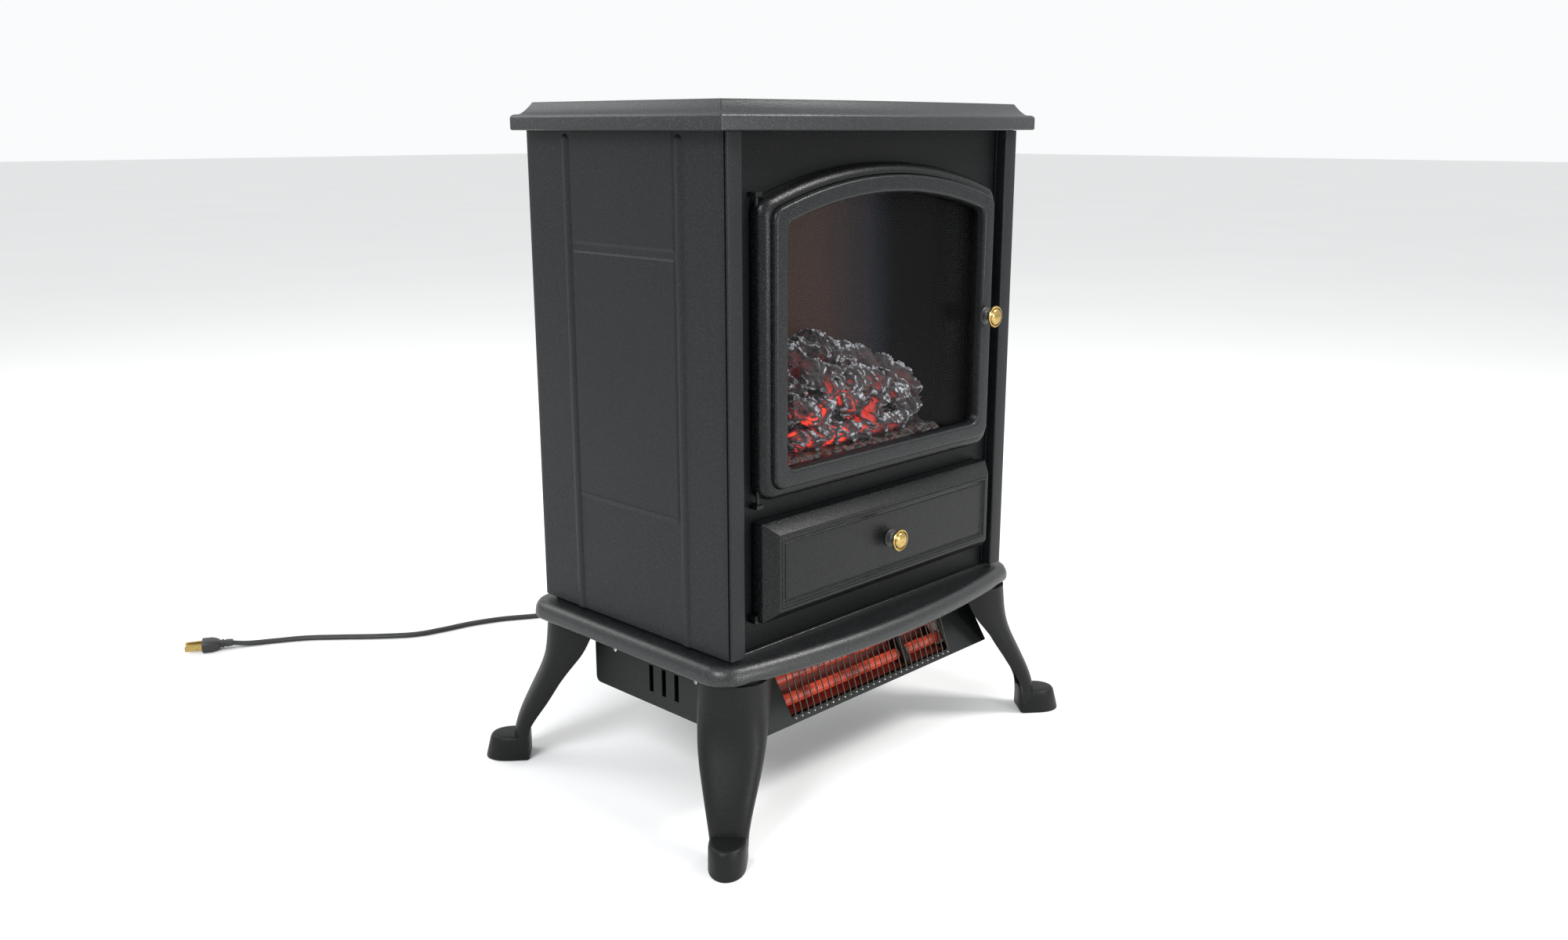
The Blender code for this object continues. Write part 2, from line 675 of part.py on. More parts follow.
def leg(name, side_x, side_y):
    """A cast channel that curves out to a rounded toe, open towards the heater."""
    top = Vector((side_x * LEG_CORNER_X, side_y * LEG_CORNER_Y, 0))
    tip = Vector((side_x * TOE_TIP_X, side_y * TOE_TIP_Y, 0))
    outward = (tip - top).normalized()
    across = Vector((-outward.y, outward.x, 0))
    reach = (tip - top).length
    height = BASE_UNDERSIDE - FIT_GAP

    def section(z):
        """A rounded U at one height: out along the outside, back along the inside."""
        low = (z - ANKLE_HEIGHT) / (height - ANKLE_HEIGHT)
        nose = LEG_SPREAD * (1 - ease(low * 1.18 + 0.02)) if low > 0 else LEG_SPREAD
        half = (LEG_ANKLE_WIDTH + (LEG_TOP_WIDTH - LEG_ANKLE_WIDTH) * ease(0.12 + low * 1.05)) / 2
        depth = LEG_ANKLE_DEPTH + (LEG_TOP_DEPTH - LEG_ANKLE_DEPTH) * ease(low * 2.2)
        outside, inside = [], []
        for step in range(13):
            angle = math.pi * step / 12
            swing = math.copysign(abs(math.cos(angle)) ** 0.8, math.cos(angle))
            bulge = math.sin(angle) ** 0.62
            for points, shrink in ((outside, 0.0), (inside, LEG_WALL)):
                if step in (0, 12):
                    forward = nose - depth
                else:
                    forward = nose - depth + 0.004 + (depth - 0.004 - shrink) * bulge
                place_on = top + outward * forward + across * (half - shrink) * swing
                points.append((place_on.x, place_on.y, z))
        return outside + inside[::-1]

    levels = 12
    low_end = TOE_HEIGHT * 0.45
    heights = [low_end + (height - low_end) * (index / levels) for index in range(levels + 1)]
    channel = loft(name, [section(z) for z in heights], cast_iron_finish(), smooth=True)

    def toe_ring(z, shrink):
        """A long rounded toe, seen from above."""
        nose = reach - TOE_SLOPE * z / TOE_HEIGHT - shrink
        heel = LEG_SPREAD - LEG_ANKLE_DEPTH - 0.002 + shrink
        half = TOE_WIDTH / 2 - shrink
        straight = heel + (nose - heel) * 0.42
        points = []
        for step in range(11):
            angle = math.pi * (step / 10 - 0.5)
            spot = top + outward * (straight + (nose - straight) * math.cos(angle))
            spot = spot + across * half * math.sin(angle)
            points.append((spot.x, spot.y, z))
        for share in (0.35, -0.35):
            spot = top + outward * heel + across * half * share * 2
            points.append((spot.x, spot.y, z))
        return points

    toe = loft(name + "_toe", [toe_ring(0, 0.0012), toe_ring(0.0012, 0), toe_ring(TOE_HEIGHT - 0.003, 0),
                               toe_ring(TOE_HEIGHT - 0.0008, 0.0010), toe_ring(TOE_HEIGHT, 0.0030)],
               cast_iron_finish())
    return fuse(channel, toe)


# ---------------------------------------------------------------- firebox and flame effect
def firebox():
    """The plates around the fire, the flame screen, the embers and the logs."""
    front = PANEL_FRONT_Y + SHEET + FIT_GAP
    half = FIREBOX_HALF_WIDTH
    shelf_rear = FRONT_Y + SHELF_DEPTH
    lip = front - PANEL_FRONT_Y
    box("firebox_floor", (-half - 0.010, front, FIREBOX_FLOOR - SHELF_THICKNESS),
        (half + 0.010, shelf_rear, FIREBOX_FLOOR), galvanised())
    box("firebox_ceiling", (-half - 0.010, front, FIREBOX_CEILING),
        (half + 0.010, shelf_rear, FIREBOX_CEILING + SHEET), black_enamel())
    for name, side in (("firebox_left_cheek", -1), ("firebox_right_cheek", 1)):
        inner, outer = side * half, side * (half + SHEET)
        box(name, (min(inner, outer), front, FIREBOX_FLOOR + FIT_GAP),
            (max(inner, outer), SCREEN_Y + 0.012, FIREBOX_CEILING - FIT_GAP), black_enamel())
    edge = half - FIT_GAP
    box("flame_screen", (-edge, SCREEN_Y, FIREBOX_FLOOR + FIT_GAP),
        (edge, SCREEN_Y + SCREEN_THICKNESS, FIREBOX_CEILING - FIT_GAP),
        material("smoked acrylic", (0.10, 0.07, 0.06), 0.25))
    bed_front = front + lip + 0.004
    bed = [(bed_front, FIREBOX_FLOOR + FIT_GAP), (SCREEN_Y - FIT_GAP, FIREBOX_FLOOR + FIT_GAP),
           (SCREEN_Y - FIT_GAP, FIREBOX_FLOOR + 0.016), (bed_front + 0.006, FIREBOX_FLOOR + 0.010)]
    plate("ember_bed", [bed], -LOG_LENGTH / 2 - 0.012, LOG_LENGTH / 2 + 0.012, "x",
          material("ember resin", (0.12, 0.05, 0.03), 0.7))
    log_set(bed_front)


def log_set(bed_front):
    """Five moulded logs that cross each other, as one hollow-looking casting."""
    bark = material("log resin", (0.16, 0.15, 0.14), 0.85)
    rear = SCREEN_Y - 0.0095
    front = bed_front + 0.0085
    low = FIREBOX_FLOOR + 0.0225
    reach = LOG_LENGTH / 2
    logs = [
        ((-reach, rear, low + 0.004), (reach + 0.006, rear, low + 0.002), 0.0085),
        ((-reach + 0.004, front, low - 0.0005), (reach - 0.030, front, low), 0.0075),
        ((-reach + 0.006, rear, low + 0.064), (-0.012, front, low + 0.020), 0.0090),
        ((-0.060, rear, low + 0.016), (-0.044, rear - 0.002, low + 0.076), 0.0090),
        ((0.004, rear, low + 0.056), (reach - 0.002, front + 0.002, low + 0.012), 0.0090),
    ]
    pieces = [rod("log_set" if index == 0 else "log_%d" % index, start, end, radius, bark,
                  end_radius=radius * 0.86, sides=12)
              for index, (start, end, radius) in enumerate(logs)]
    centre = rod("log_heart", (-0.040, (front + rear) / 2, low + 0.008),
                 (0.050, (front + rear) / 2, low + 0.008), 0.0095, bark, sides=12)
    knot = rod("log_knot", (0.000, rear, low + 0.002), (0.006, rear, low + 0.050), 0.0080, bark, sides=12)
    return fuse(pieces[0], *pieces[1:], centre, knot)


def flame_effect():
    """The turning spindle with its fins, its motor and bearing, and the two lamps."""
    y, z = FRONT_Y + SPINDLE_Y, SPINDLE_Z
    half = SPINDLE_LENGTH / 2
    spindle = rod("flicker_spindle", (-half, y, z), (half, y, z), SPINDLE_DIAMETER / 2,
                  bright_steel(), sides=12, origin=(0, y, z))
    for index in range(6):
        middle = -half + 0.030 + index * 0.032
        fin = box("fin_%d" % index, (middle - 0.011, y - FIN_REACH, z - 0.0004),
                  (middle + 0.011, y + FIN_REACH, z + 0.0004), bright_steel())
        fin.data.transform(Matrix.Translation((0, y, z))
                           @ Matrix.Rotation(math.radians(60 * index), 4, "X")
                           @ Matrix.Translation((0, -y, -z)))
        fuse(spindle, fin)
    motor_x = half + FIT_GAP
    motor = rod("flicker_motor", (motor_x, y, z), (motor_x + 0.018, y, z), 0.0160, galvanised())
    foot = box("motor_foot", (motor_x + 0.004, y - 0.008, FIREBOX_FLOOR + FIT_GAP),
               (motor_x + 0.012, y + 0.008, z), galvanised())
    fuse(motor, foot)
    bearing = box("spindle_bearing", (-half + 0.004, y - 0.007, FIREBOX_FLOOR + FIT_GAP),
                  (-half + 0.010, y + 0.007, z + 0.008), black_plastic())
    bore = rod("bearing_bore", (-half - 0.01, y, z), (-half + 0.02, y, z),
               SPINDLE_DIAMETER / 2 + FIT_GAP, black_plastic(), sides=12)
    cut(bearing, bore)
    for name, side in (("left", -1), ("right", 1)):
        x = side * LAMP_X
        lamp_y = FRONT_Y + LAMP_Y
        floor = FIREBOX_FLOOR + FIT_GAP
        rod(name + "_lamp_holder", (x, lamp_y, floor), (x, lamp_y, floor + 0.028), 0.0100, black_plastic())
        foot_z = floor + 0.028 + FIT_GAP
        bulb = [(0, 0.062), (0.006, 0.060), (0.0105, 0.050), (0.0125, 0.036), (0.0110, 0.020),
                (0.0065, 0.006), (0.0065, 0), (0, 0)]
        turned(name + "_lamp", bulb, (x, lamp_y, foot_z), (0, 0, 1),
               material("lamp glass", (0.8, 0.8, 0.78), 0.15), steps=16)


# ---------------------------------------------------------------- door
def door_axis():
    return (-DOOR_HALF_WIDTH + DOOR_AXIS_INSET, FRONT_Y + DOOR_AXIS_Y, (DOOR_BOTTOM + DOOR_APEX) / 2)


def door():
    """The arched door: moulding, raised frame, glass, knob and strike, on two pins."""
    axis = door_axis()
    back = PANEL_FRONT_Y - DOOR_BACK_GAP
    floor = FRONT_Y + DOOR_RECESS_FLOOR
    opening = DOOR_BEAD + TRIM_WIDTH
    frame = plate("door_frame", [arch(0, DOOR_CORNER), arch(opening - 0.0004, 0.008)],
                  FRONT_Y + DOOR_FRONT, back, "y", cast_iron_finish(), origin=axis)
    step = plate("door_step", [arch(DOOR_BEAD, 0.010), arch(opening + 0.02, 0.008)],
                 FRONT_Y + DOOR_FRONT - 0.01, FRONT_Y + DOOR_FRONT + 0.002, "y", cast_iron_finish())
    rabbet = plate("door_rabbet", [arch(opening - GLASS_LAP - FIT_GAP, 0.008), arch(opening + 0.02, 0.008)],
                   floor, back + 0.01, "y", cast_iron_finish())
    cut(frame, step, rabbet)
    shoulder = door_hinge_heights()[1]
    for index, (start, end) in enumerate(((DOOR_BOTTOM - 0.01, DOOR_BOTTOM + HINGE_ENGAGE + 0.008),
                                          (shoulder - HINGE_ENGAGE - 0.002, shoulder + 0.03))):
        cut(frame, rod("door_bore_%d" % index, (axis[0], axis[1], start), (axis[0], axis[1], end),
                       HINGE_PIN / 2 + HINGE_CLEARANCE, cast_iron_finish(), sides=16))
    trim = plate("door_trim", [arch(DOOR_BEAD + FIT_GAP, 0.0097), arch(opening, 0.008)],
                 FRONT_Y + TRIM_FRONT, FRONT_Y + DOOR_FRONT + 0.002 - FIT_GAP, "y",
                 cast_iron_finish(), origin=axis)
    add_bevel(trim, 0.0009, 2, 60)
    glass_front = floor + FIT_GAP
    plate("door_glass", [arch(opening - GLASS_LAP, 0.008)], glass_front,
          glass_front + GLASS_THICKNESS, "y", material("door glass", (0.05, 0.05, 0.055), 0.05),
          origin=axis)
    knob("door_knob", (DOOR_KNOB_X, FRONT_Y + TRIM_FRONT, DOOR_KNOB_Z), axis)
    strike_x = DOOR_HALF_WIDTH - 0.0085
    box("door_strike", (strike_x - 0.0035, back - 0.0046, DOOR_KNOB_Z - 0.012),
        (strike_x + 0.0035, back - 0.0010, DOOR_KNOB_Z + 0.012), bright_steel(), axis)
    strike_slot = box("strike_slot", (strike_x - 0.0038, back - 0.0049, DOOR_KNOB_Z - 0.0123),
                      (strike_x + 0.0038, back + 0.01, DOOR_KNOB_Z + 0.0123), cast_iron_finish())
    cut(frame, strike_slot)
    catch(strike_x, back)
    hinge_brackets(axis)


def door_hinge_heights():
    """Return the heights at which the lower and upper pins meet the door."""
    shoulder_x = DOOR_HALF_WIDTH - DOOR_AXIS_INSET
    centre = DOOR_APEX - DOOR_ARCH_RADIUS
    shoulder = centre + math.sqrt(DOOR_ARCH_RADIUS ** 2 - shoulder_x ** 2) - DOOR_CORNER * 0.45
    return DOOR_BOTTOM + DOOR_CORNER * 0.45, shoulder


def hinge_brackets(axis):
    """Tabs on the fascia above and below the door, each with a pin into the door."""
    lower, upper = door_hinge_heights()
    x, y = axis[0], axis[1]
    rear = PANEL_FRONT_Y - FIT_GAP
    for name, tab, pin_to in (("door_hinge_lower", DOOR_BOTTOM - 0.0040, lower + HINGE_ENGAGE),
                              ("door_hinge_upper", upper + 0.0095, upper - HINGE_ENGAGE)):
        body = box(name, (x - 0.0035, y - 0.0028, tab - HINGE_TAB / 2),
                   (x + 0.0035, rear, tab + HINGE_TAB / 2), bright_steel())
        pin = rod(name + "_pin", (x, y, tab), (x, y, pin_to), HINGE_PIN / 2, bright_steel(), sides=16)
        fuse(body, pin)


def catch(strike_x, back):
    """The magnet block behind the fascia edge that holds the door shut."""
    box("door_catch", (FIREBOX_HALF_WIDTH + SHEET + FIT_GAP, PANEL_FRONT_Y + SHEET + FIT_GAP,
                       DOOR_KNOB_Z - 0.011),
        (strike_x + 0.0048, PANEL_FRONT_Y + SHEET + 0.009, DOOR_KNOB_Z + 0.011), black_plastic())


def knob(name, foot, origin):
    """A domed brass disc on a flared black stem that points forward."""
    reach = KNOB_REACH
    stem_top = reach - 0.0055
    stem = [(0, stem_top), (KNOB_NECK / 2 + 0.0012, stem_top), (KNOB_NECK / 2, stem_top - 0.0020),
            (KNOB_NECK / 2, 0.0032), (KNOB_ROSETTE / 2 - 0.0018, 0.0020), (KNOB_ROSETTE / 2, 0.0008),
            (KNOB_ROSETTE / 2, FIT_GAP), (0, FIT_GAP)]
    turned(name + "_stem", stem, foot, (0, -1, 0), black_plastic(), 20, origin)
    low = stem_top + FIT_GAP
    disc = [(0, reach), (KNOB_DIAMETER * 0.20, reach - 0.0003), (KNOB_DIAMETER * 0.36, reach - 0.0012),
            (KNOB_DIAMETER * 0.40, reach - 0.0024), (KNOB_DIAMETER * 0.44, reach - 0.0020),
            (KNOB_DIAMETER * 0.49, reach - 0.0026), (KNOB_DIAMETER / 2, reach - 0.0034),
            (KNOB_DIAMETER * 0.47, low + 0.0004), (KNOB_DIAMETER * 0.42, low), (0, low)]
    turned(name, disc, foot, (0, -1, 0), brass(), 24, origin)


# ---------------------------------------------------------------- control flap
def flap_axis():
    return (0, FRONT_Y + FLAP_AXIS_Y, FLAP_BOTTOM + FLAP_AXIS_RISE)


def control_flap():
    """The bevelled flap below the door, hollow behind, hinged along its lower edge."""
    axis = flap_axis()
    back = PANEL_FRONT_Y - FLAP_BACK_GAP

    def ring(inset, depth):
        half = FLAP_HALF_WIDTH - inset
        outline = rectangle(-half, half, FLAP_BOTTOM + inset, FLAP_TOP - inset)
        return [(x, FRONT_Y + depth, z) for x, z in outline]

    rear_ring = [(x, back, z) for x, _, z in ring(0, 0)]
    face = FLAP_BEVEL
    inner = FLAP_BEVEL + FLAP_BEAD_INSET
    rings = [rear_ring, ring(0, FLAP_SHOULDER), ring(face, FLAP_FRONT),
             ring(face + 0.0034, FLAP_FRONT), ring(inner - 0.0006, FLAP_FRONT + 0.0008),
             ring(inner + 0.0014, FLAP_FRONT + FLAP_PANEL_DEPTH)]
    flap = loft("control_flap", rings, cast_iron_finish(), origin=axis)
    wall = FLAP_WALL
    hollow = box("flap_hollow", (-FLAP_HALF_WIDTH + wall, FRONT_Y + FLAP_SHOULDER, FLAP_BOTTOM + wall * 3),
                 (FLAP_HALF_WIDTH - wall, back + 0.01, FLAP_TOP - wall), cast_iron_finish())
    deep = box("flap_deep_hollow", (-FLAP_HALF_WIDTH + face + wall, FRONT_Y + FLAP_FRONT + FLAP_PANEL_DEPTH + wall,
                                    FLAP_BOTTOM + face + wall),
               (FLAP_HALF_WIDTH - face - wall, back + 0.01, FLAP_TOP - face - wall), cast_iron_finish())
    cut(flap, hollow, deep)
    for name, side in (("flap_hinge_left", -1), ("flap_hinge_right", 1)):
        side_x = side * FLAP_HALF_WIDTH
        cut(flap, rod(name + "_bore", (side_x - side * 0.0080, axis[1], axis[2]),
                      (side_x + side * 0.01, axis[1], axis[2]), 0.0010 + HINGE_CLEARANCE,
                      cast_iron_finish(), sides=12))
        tab_x = side_x + side * 0.0030
        body = box(name, (tab_x - 0.0015, axis[1] - 0.0030, axis[2] - 0.0030),
                   (tab_x + 0.0015, PANEL_FRONT_Y - FIT_GAP, axis[2] + 0.0030), bright_steel())
        fuse(body, rod(name + "_pin", (tab_x, axis[1], axis[2]), (side_x - side * 0.0060, axis[1], axis[2]),
                       0.0010, bright_steel(), sides=12))
    knob("flap_knob", (0, FRONT_Y + FLAP_FRONT + FLAP_PANEL_DEPTH, (FLAP_BOTTOM + FLAP_TOP) / 2), axis)


def controls():
    """The panel behind the flap with two rocker switches and the thermostat dial."""
    face = FRONT_Y + CONTROL_PLANE
    panel = box("control_panel", (-CONTROL_HALF_WIDTH - 0.008, face, CONTROL_BOTTOM),
                (CONTROL_HALF_WIDTH + 0.008, face + SHEET, CONTROL_TOP), black_enamel())
    middle = (CONTROL_BOTTOM + CONTROL_TOP) / 2
    for name, x in (("flame_switch", -SWITCH_SPACING * 1.4), ("heat_switch", -SWITCH_SPACING * 0.4)):
        half_w, half_h = SWITCH_WIDTH / 2, SWITCH_HEIGHT / 2
        hole = box(name + "_hole", (x - half_w - 0.001, face - 0.01, middle - half_h - 0.001),
                   (x + half_w + 0.001, face + 0.01, middle + half_h + 0.001), black_enamel())
        cut(panel, hole)
        body = box(name + "_housing", (x - half_w - 0.0030, face - 0.0015, middle - half_h - 0.0030),
                   (x + half_w + 0.0030, face - FIT_GAP, middle + half_h + 0.0030), black_plastic())
        can = box(name + "_can", (x - half_w, face - 0.0010, middle - half_h),
                  (x + half_w, face + 0.0220, middle + half_h), black_plastic())
        room = box(name + "_room", (x - half_w + 0.0015, face - 0.01, middle - half_h + 0.0015),
                   (x + half_w - 0.0015, face + 0.0120, middle + half_h - 0.0015), black_plastic())
        cut(fuse(body, can), room)
        rocker(name + "_rocker", x, face + 0.0050, middle)
    dial(face, middle, panel)


def rocker(name, x, axis_y, middle):
    """A rocker key that pivots about a line across its middle."""
    half = SWITCH_WIDTH / 2 - 0.0021
    arm = SWITCH_HEIGHT / 2 - 0.0030
    axis = (x, axis_y, middle)
    profile = [(axis_y + 0.0040, middle - 0.004), (axis_y + 0.0040, middle + 0.004),
               (axis_y - 0.0040, middle + arm), (axis_y - 0.0085, middle + arm),
               (axis_y - 0.0062, middle), (axis_y - 0.0068, middle - arm),
               (axis_y - 0.0030, middle - arm)]
    return plate(name, [profile], x - half, x + half, "x", black_plastic(), origin=axis)


def dial(face, middle, panel):
    """The thermostat: a dial with a pointer ridge on a shaft, and the body behind the panel."""
    x = SWITCH_SPACING * 1.2
    shaft_hole = rod("dial_hole", (x, face - 0.01, middle), (x, face + 0.01, middle),
                     0.0036, black_enamel(), sides=16)
    cut(panel, shaft_hole)
    foot = (x, face - 0.0008, middle)
    profile = [(0, DIAL_HEIGHT), (DIAL_DIAMETER * 0.40, DIAL_HEIGHT), (DIAL_DIAMETER * 0.44, DIAL_HEIGHT - 0.001),
               (DIAL_DIAMETER / 2, 0.001), (DIAL_DIAMETER / 2, 0), (0, 0)]
    made = turned("thermostat_dial", profile, foot, (0, -1, 0), black_plastic(), 28, (x, foot[1], middle))
    ridge = box("dial_ridge", (x - 0.0016, face - DIAL_HEIGHT - 0.0022, middle - 0.002),
                (x + 0.0016, face - DIAL_HEIGHT + 0.002, middle + DIAL_DIAMETER * 0.40), black_plastic())
    shaft = rod("dial_shaft", (x, face - 0.003, middle), (x, face + 0.0060, middle), 0.0030,
                black_plastic(), sides=16)
    fuse(made, ridge, shaft)
    body = box("thermostat_body", (x - 0.014, face + SHEET + FIT_GAP, middle - 0.016),
               (x + 0.014, face + 0.026, middle + 0.016), galvanised())
    cut(body, rod("dial_socket", (x, face - 0.01, middle), (x, face + 0.0075, middle), 0.0034,
                  galvanised(), sides=16))


# ---------------------------------------------------------------- heater under the base
def heater_slope():
    """Return the direction up the slanted front and its outward normal, as (y, z)."""
    run = Vector((HEATER_FRONT_TOP - HEATER_FRONT, HEATER_TOP - HEATER_BOTTOM)).normalized()
    return run, Vector((-run.y, run.x))


def slope_point(along, depth):
    """Return (y, z) at a distance from the middle of the grille, along and behind the face."""
    run, out = heater_slope()
    middle_z = (VENT_BOTTOM + 0.1135) / 2
    share = (middle_z - HEATER_BOTTOM) / (HEATER_TOP - HEATER_BOTTOM)
    middle_y = FRONT_Y + HEATER_FRONT + (HEATER_FRONT_TOP - HEATER_FRONT) * share
    return (middle_y + run.x * along - out.x * depth, middle_z + run.y * along - out.y * depth)


def heater_box():
    """An open-topped box with a slanted front, a grille opening and three vents a side."""
    wall = HEATER_WALL
    outline = [(FRONT_Y + HEATER_FRONT, HEATER_BOTTOM), (FRONT_Y + HEATER_REAR, HEATER_BOTTOM),
               (FRONT_Y + HEATER_REAR, HEATER_TOP), (FRONT_Y + HEATER_FRONT_TOP, HEATER_TOP)]
    shell = plate("heater_box", [rounded(outline, [0.0008, HEATER_CORNER, 0, 0])],
                  -HEATER_HALF_WIDTH, HEATER_HALF_WIDTH, "x", black_enamel())
    slope_width = wall / heater_slope()[0].y
    lean = (HEATER_FRONT_TOP - HEATER_FRONT) / (HEATER_TOP - HEATER_BOTTOM)
    inner = [(FRONT_Y + HEATER_FRONT + slope_width + lean * wall, HEATER_BOTTOM + wall),
             (FRONT_Y + HEATER_REAR - wall, HEATER_BOTTOM + wall),
             (FRONT_Y + HEATER_REAR - wall, HEATER_TOP + 0.01),
             (FRONT_Y + HEATER_FRONT_TOP + slope_width + lean * 0.01, HEATER_TOP + 0.01)]
    room = plate("heater_room", [rounded(inner, [0, HEATER_CORNER - wall, 0, 0])],
                 -HEATER_HALF_WIDTH + wall, HEATER_HALF_WIDTH - wall, "x", black_enamel())
    cut(shell, room)
    window = [slope_point(-0.0232, 0.006), slope_point(0.0215, 0.006),
              slope_point(0.0215, -0.006), slope_point(-0.0232, -0.006)]
    cut(shell, plate("heater_window", [window], -GRILLE_HALF_WIDTH, GRILLE_HALF_WIDTH, "x", black_enamel()))
    for index in (-1, 0, 1):
        middle = FRONT_Y + VENT_MIDDLE_Y + index * VENT_PITCH
        cut(shell, box("vent_%d" % index, (-HEATER_HALF_WIDTH - 0.01, middle - VENT_WIDTH / 2, VENT_BOTTOM),
                       (HEATER_HALF_WIDTH + 0.01, middle + VENT_WIDTH / 2, VENT_TOP), black_enamel()))
    return shell


def reflector():
    """A bright curved trough behind the quartz tubes, open to the front."""
    front, back = [], []
    for step in range(11):
        share = 2 * step / 10 - 1
        depth = 0.0035 + (REFLECTOR_DEPTH - 0.0035) * (1 - abs(share) ** 3)
        along = REFLECTOR_SPAN * share
        front.append(slope_point(along, depth))
        back.append(slope_point(along * 1.045, depth + REFLECTOR_SHEET))
    return plate("reflector", [front + back[::-1]], -REFLECTOR_HALF_LENGTH, REFLECTOR_HALF_LENGTH, "x",
                 bright_steel())


def quartz_tubes():
    """Two quartz tubes across the reflector, held at each end by a ceramic holder."""
    quartz = material("quartz glass", (0.85, 0.32, 0.16), 0.2)
    ceramic = material("ceramic", (0.80, 0.78, 0.72), 0.6)
    holder_x = REFLECTOR_HALF_LENGTH + 0.0010
    reach = holder_x + 0.0060
    seats = []
    for name, along in (("upper_quartz_tube", TUBE_HALF_SPACING), ("lower_quartz_tube", -TUBE_HALF_SPACING)):
        y, z = slope_point(along, TUBE_DEPTH)
        seats.append((y, z))
        rod(name, (-reach, y, z), (reach, y, z), TUBE_DIAMETER / 2, quartz, sides=14)
    for name, side in (("left_tube_holder", -1), ("right_tube_holder", 1)):
        half = TUBE_HALF_SPACING + TUBE_DIAMETER / 2 + 0.0015
        outline = [slope_point(-half, TUBE_DEPTH + 0.0066), slope_point(half, TUBE_DEPTH + 0.0066),
                   slope_point(half, TUBE_DEPTH - 0.0066), slope_point(-half, TUBE_DEPTH - 0.0066)]
        outline.reverse()
        low, high = sorted((side * holder_x, side * (holder_x + 0.0120)))
        holder = plate(name, [outline], low, high, "x", ceramic)
        for index, (y, z) in enumerate(seats):
            cut(holder, rod(name + "_seat_%d" % index, (side * (holder_x - 0.01), y, z),
                            (side * (reach + 0.0003), y, z), TUBE_DIAMETER / 2 + FIT_GAP, ceramic, sides=14))


def guard_grille():
    """The wire guard: bent wires between two rails that lie on the slanted face."""
    metal = material("guard wire", (0.34, 0.28, 0.20), 0.4, 0.9)
    lift = -(GRILLE_RAIL / 2 + FIT_GAP)
    low = slope_point(GRILLE_LOW, lift)
    high = slope_point(GRILLE_HIGH, lift)
    belly_low = slope_point(GRILLE_LOW + 0.0050, lift - 0.0016)
    belly = slope_point(GRILLE_BELLY, lift - GRILLE_PROUD)
    half = GRILLE_HALF_WIDTH
    rails = []
    for name, (y, z) in (("guard_grille", low), ("guard_top_rail", high)):
        rails.append(square_bar(name, [Vector((-half, y, z)), Vector((half, y, z))],
                                GRILLE_RAIL / 2, metal))
    span = half - 0.0028
    points = [low, belly_low, belly, high]
    for index in range(GRILLE_WIRES):
        x = -span + 2 * span * index / (GRILLE_WIRES - 1)
        wire = square_bar("guard_wire_%d" % index, [Vector((x, y, z)) for y, z in points],
                          GRILLE_WIRE / 2, metal)
        fuse(rails[0], wire)
    return fuse(rails[0], rails[1])


def square_bar(name, points, half, finish):
    """A square bar along points in one upright plane, with its sides square to the heater face."""
    rings = []
    upright = heater_slope()[1]
    out = Vector((0, upright.x, upright.y))
    for index, point in enumerate(points):
        before = points[max(0, index - 1)]
        after = points[min(len(points) - 1, index + 1)]
        along = (after - before).normalized()
        if abs(along.x) > 0.9:
            side = along.cross(out)
            other = out
        else:
            side = Vector((1, 0, 0))
            other = along.cross(side)
        rings.append([point + (side * a + other * b) * half
                      for a, b in ((1, 1), (-1, 1), (-1, -1), (1, -1))])
    return loft(name, rings, finish)


# ---------------------------------------------------------------- cord
def strain_relief():
    """A tapered boot through the back panel, with a collar on each side of the sheet."""
    rear = REAR_Y - SHEET - FIT_GAP
    foot = (CORD_EXIT_X, rear - SHEET - 0.004, CORD_EXIT_Z)
    sheet_in = 0.004 - FIT_GAP
    sheet_out = 0.004 + SHEET + FIT_GAP
    length = 0.004 + SHEET + RELIEF_LENGTH
    root, tip = RELIEF_ROOT, RELIEF_TIP
    profile = [(0, length), (tip, length), (root, sheet_out + 0.0035), (root + 0.0022, sheet_out + 0.0030),
               (root + 0.0022, sheet_out), (root - 0.0002, sheet_out), (root - 0.0002, sheet_in),
               (root + 0.0014, sheet_in), (root + 0.0014, 0), (0, 0)]
    return turned("strain_relief", profile, foot, (0, 1, 0), flexible_black(), 20)


def relief_tip():
    """Return the point where the cord leaves the strain relief."""
    return (CORD_EXIT_X, REAR_Y - SHEET - FIT_GAP - SHEET - 0.004 + 0.004 + SHEET + RELIEF_LENGTH, CORD_EXIT_Z)


def cord():
    """The mains cord: a lead to the floor, a tied coil, and a run to the plug."""
    rubber = flexible_black()
    start = Vector(relief_tip()) + Vector((0, FIT_GAP, 0))
    lead = [Vector(point) for point in LEAD_ROUTE]
    lead[0] = start
    cord_tube("cord_lead", smooth_route(lead, 0.0085), CORD_WIDTH, rubber)
    cord_tube("cord_run", smooth_route(RUN_ROUTE, 0.0110), CORD_WIDTH, rubber)
    cx, cy = COIL_CENTRE
    outer = COIL_MEAN_RADIUS + COIL_HALF_WIDTH
    inner = COIL_MEAN_RADIUS - COIL_HALF_WIDTH
    r = 0.003
    section = [(outer - r, COIL_HEIGHT), (outer, COIL_HEIGHT - r), (outer, r), (outer - r, 0.0002),
               (inner + r, 0.0002), (inner, r), (inner, COIL_HEIGHT - r), (inner + r, COIL_HEIGHT),
               (outer - r, COIL_HEIGHT)]
    turned("cord_coil", section, (cx, cy, 0), (0, 0, 1), rubber, 40)
    tie(cx, cy, outer, inner)
    plug(Vector(RUN_ROUTE[-2]), Vector(RUN_ROUTE[-1]))


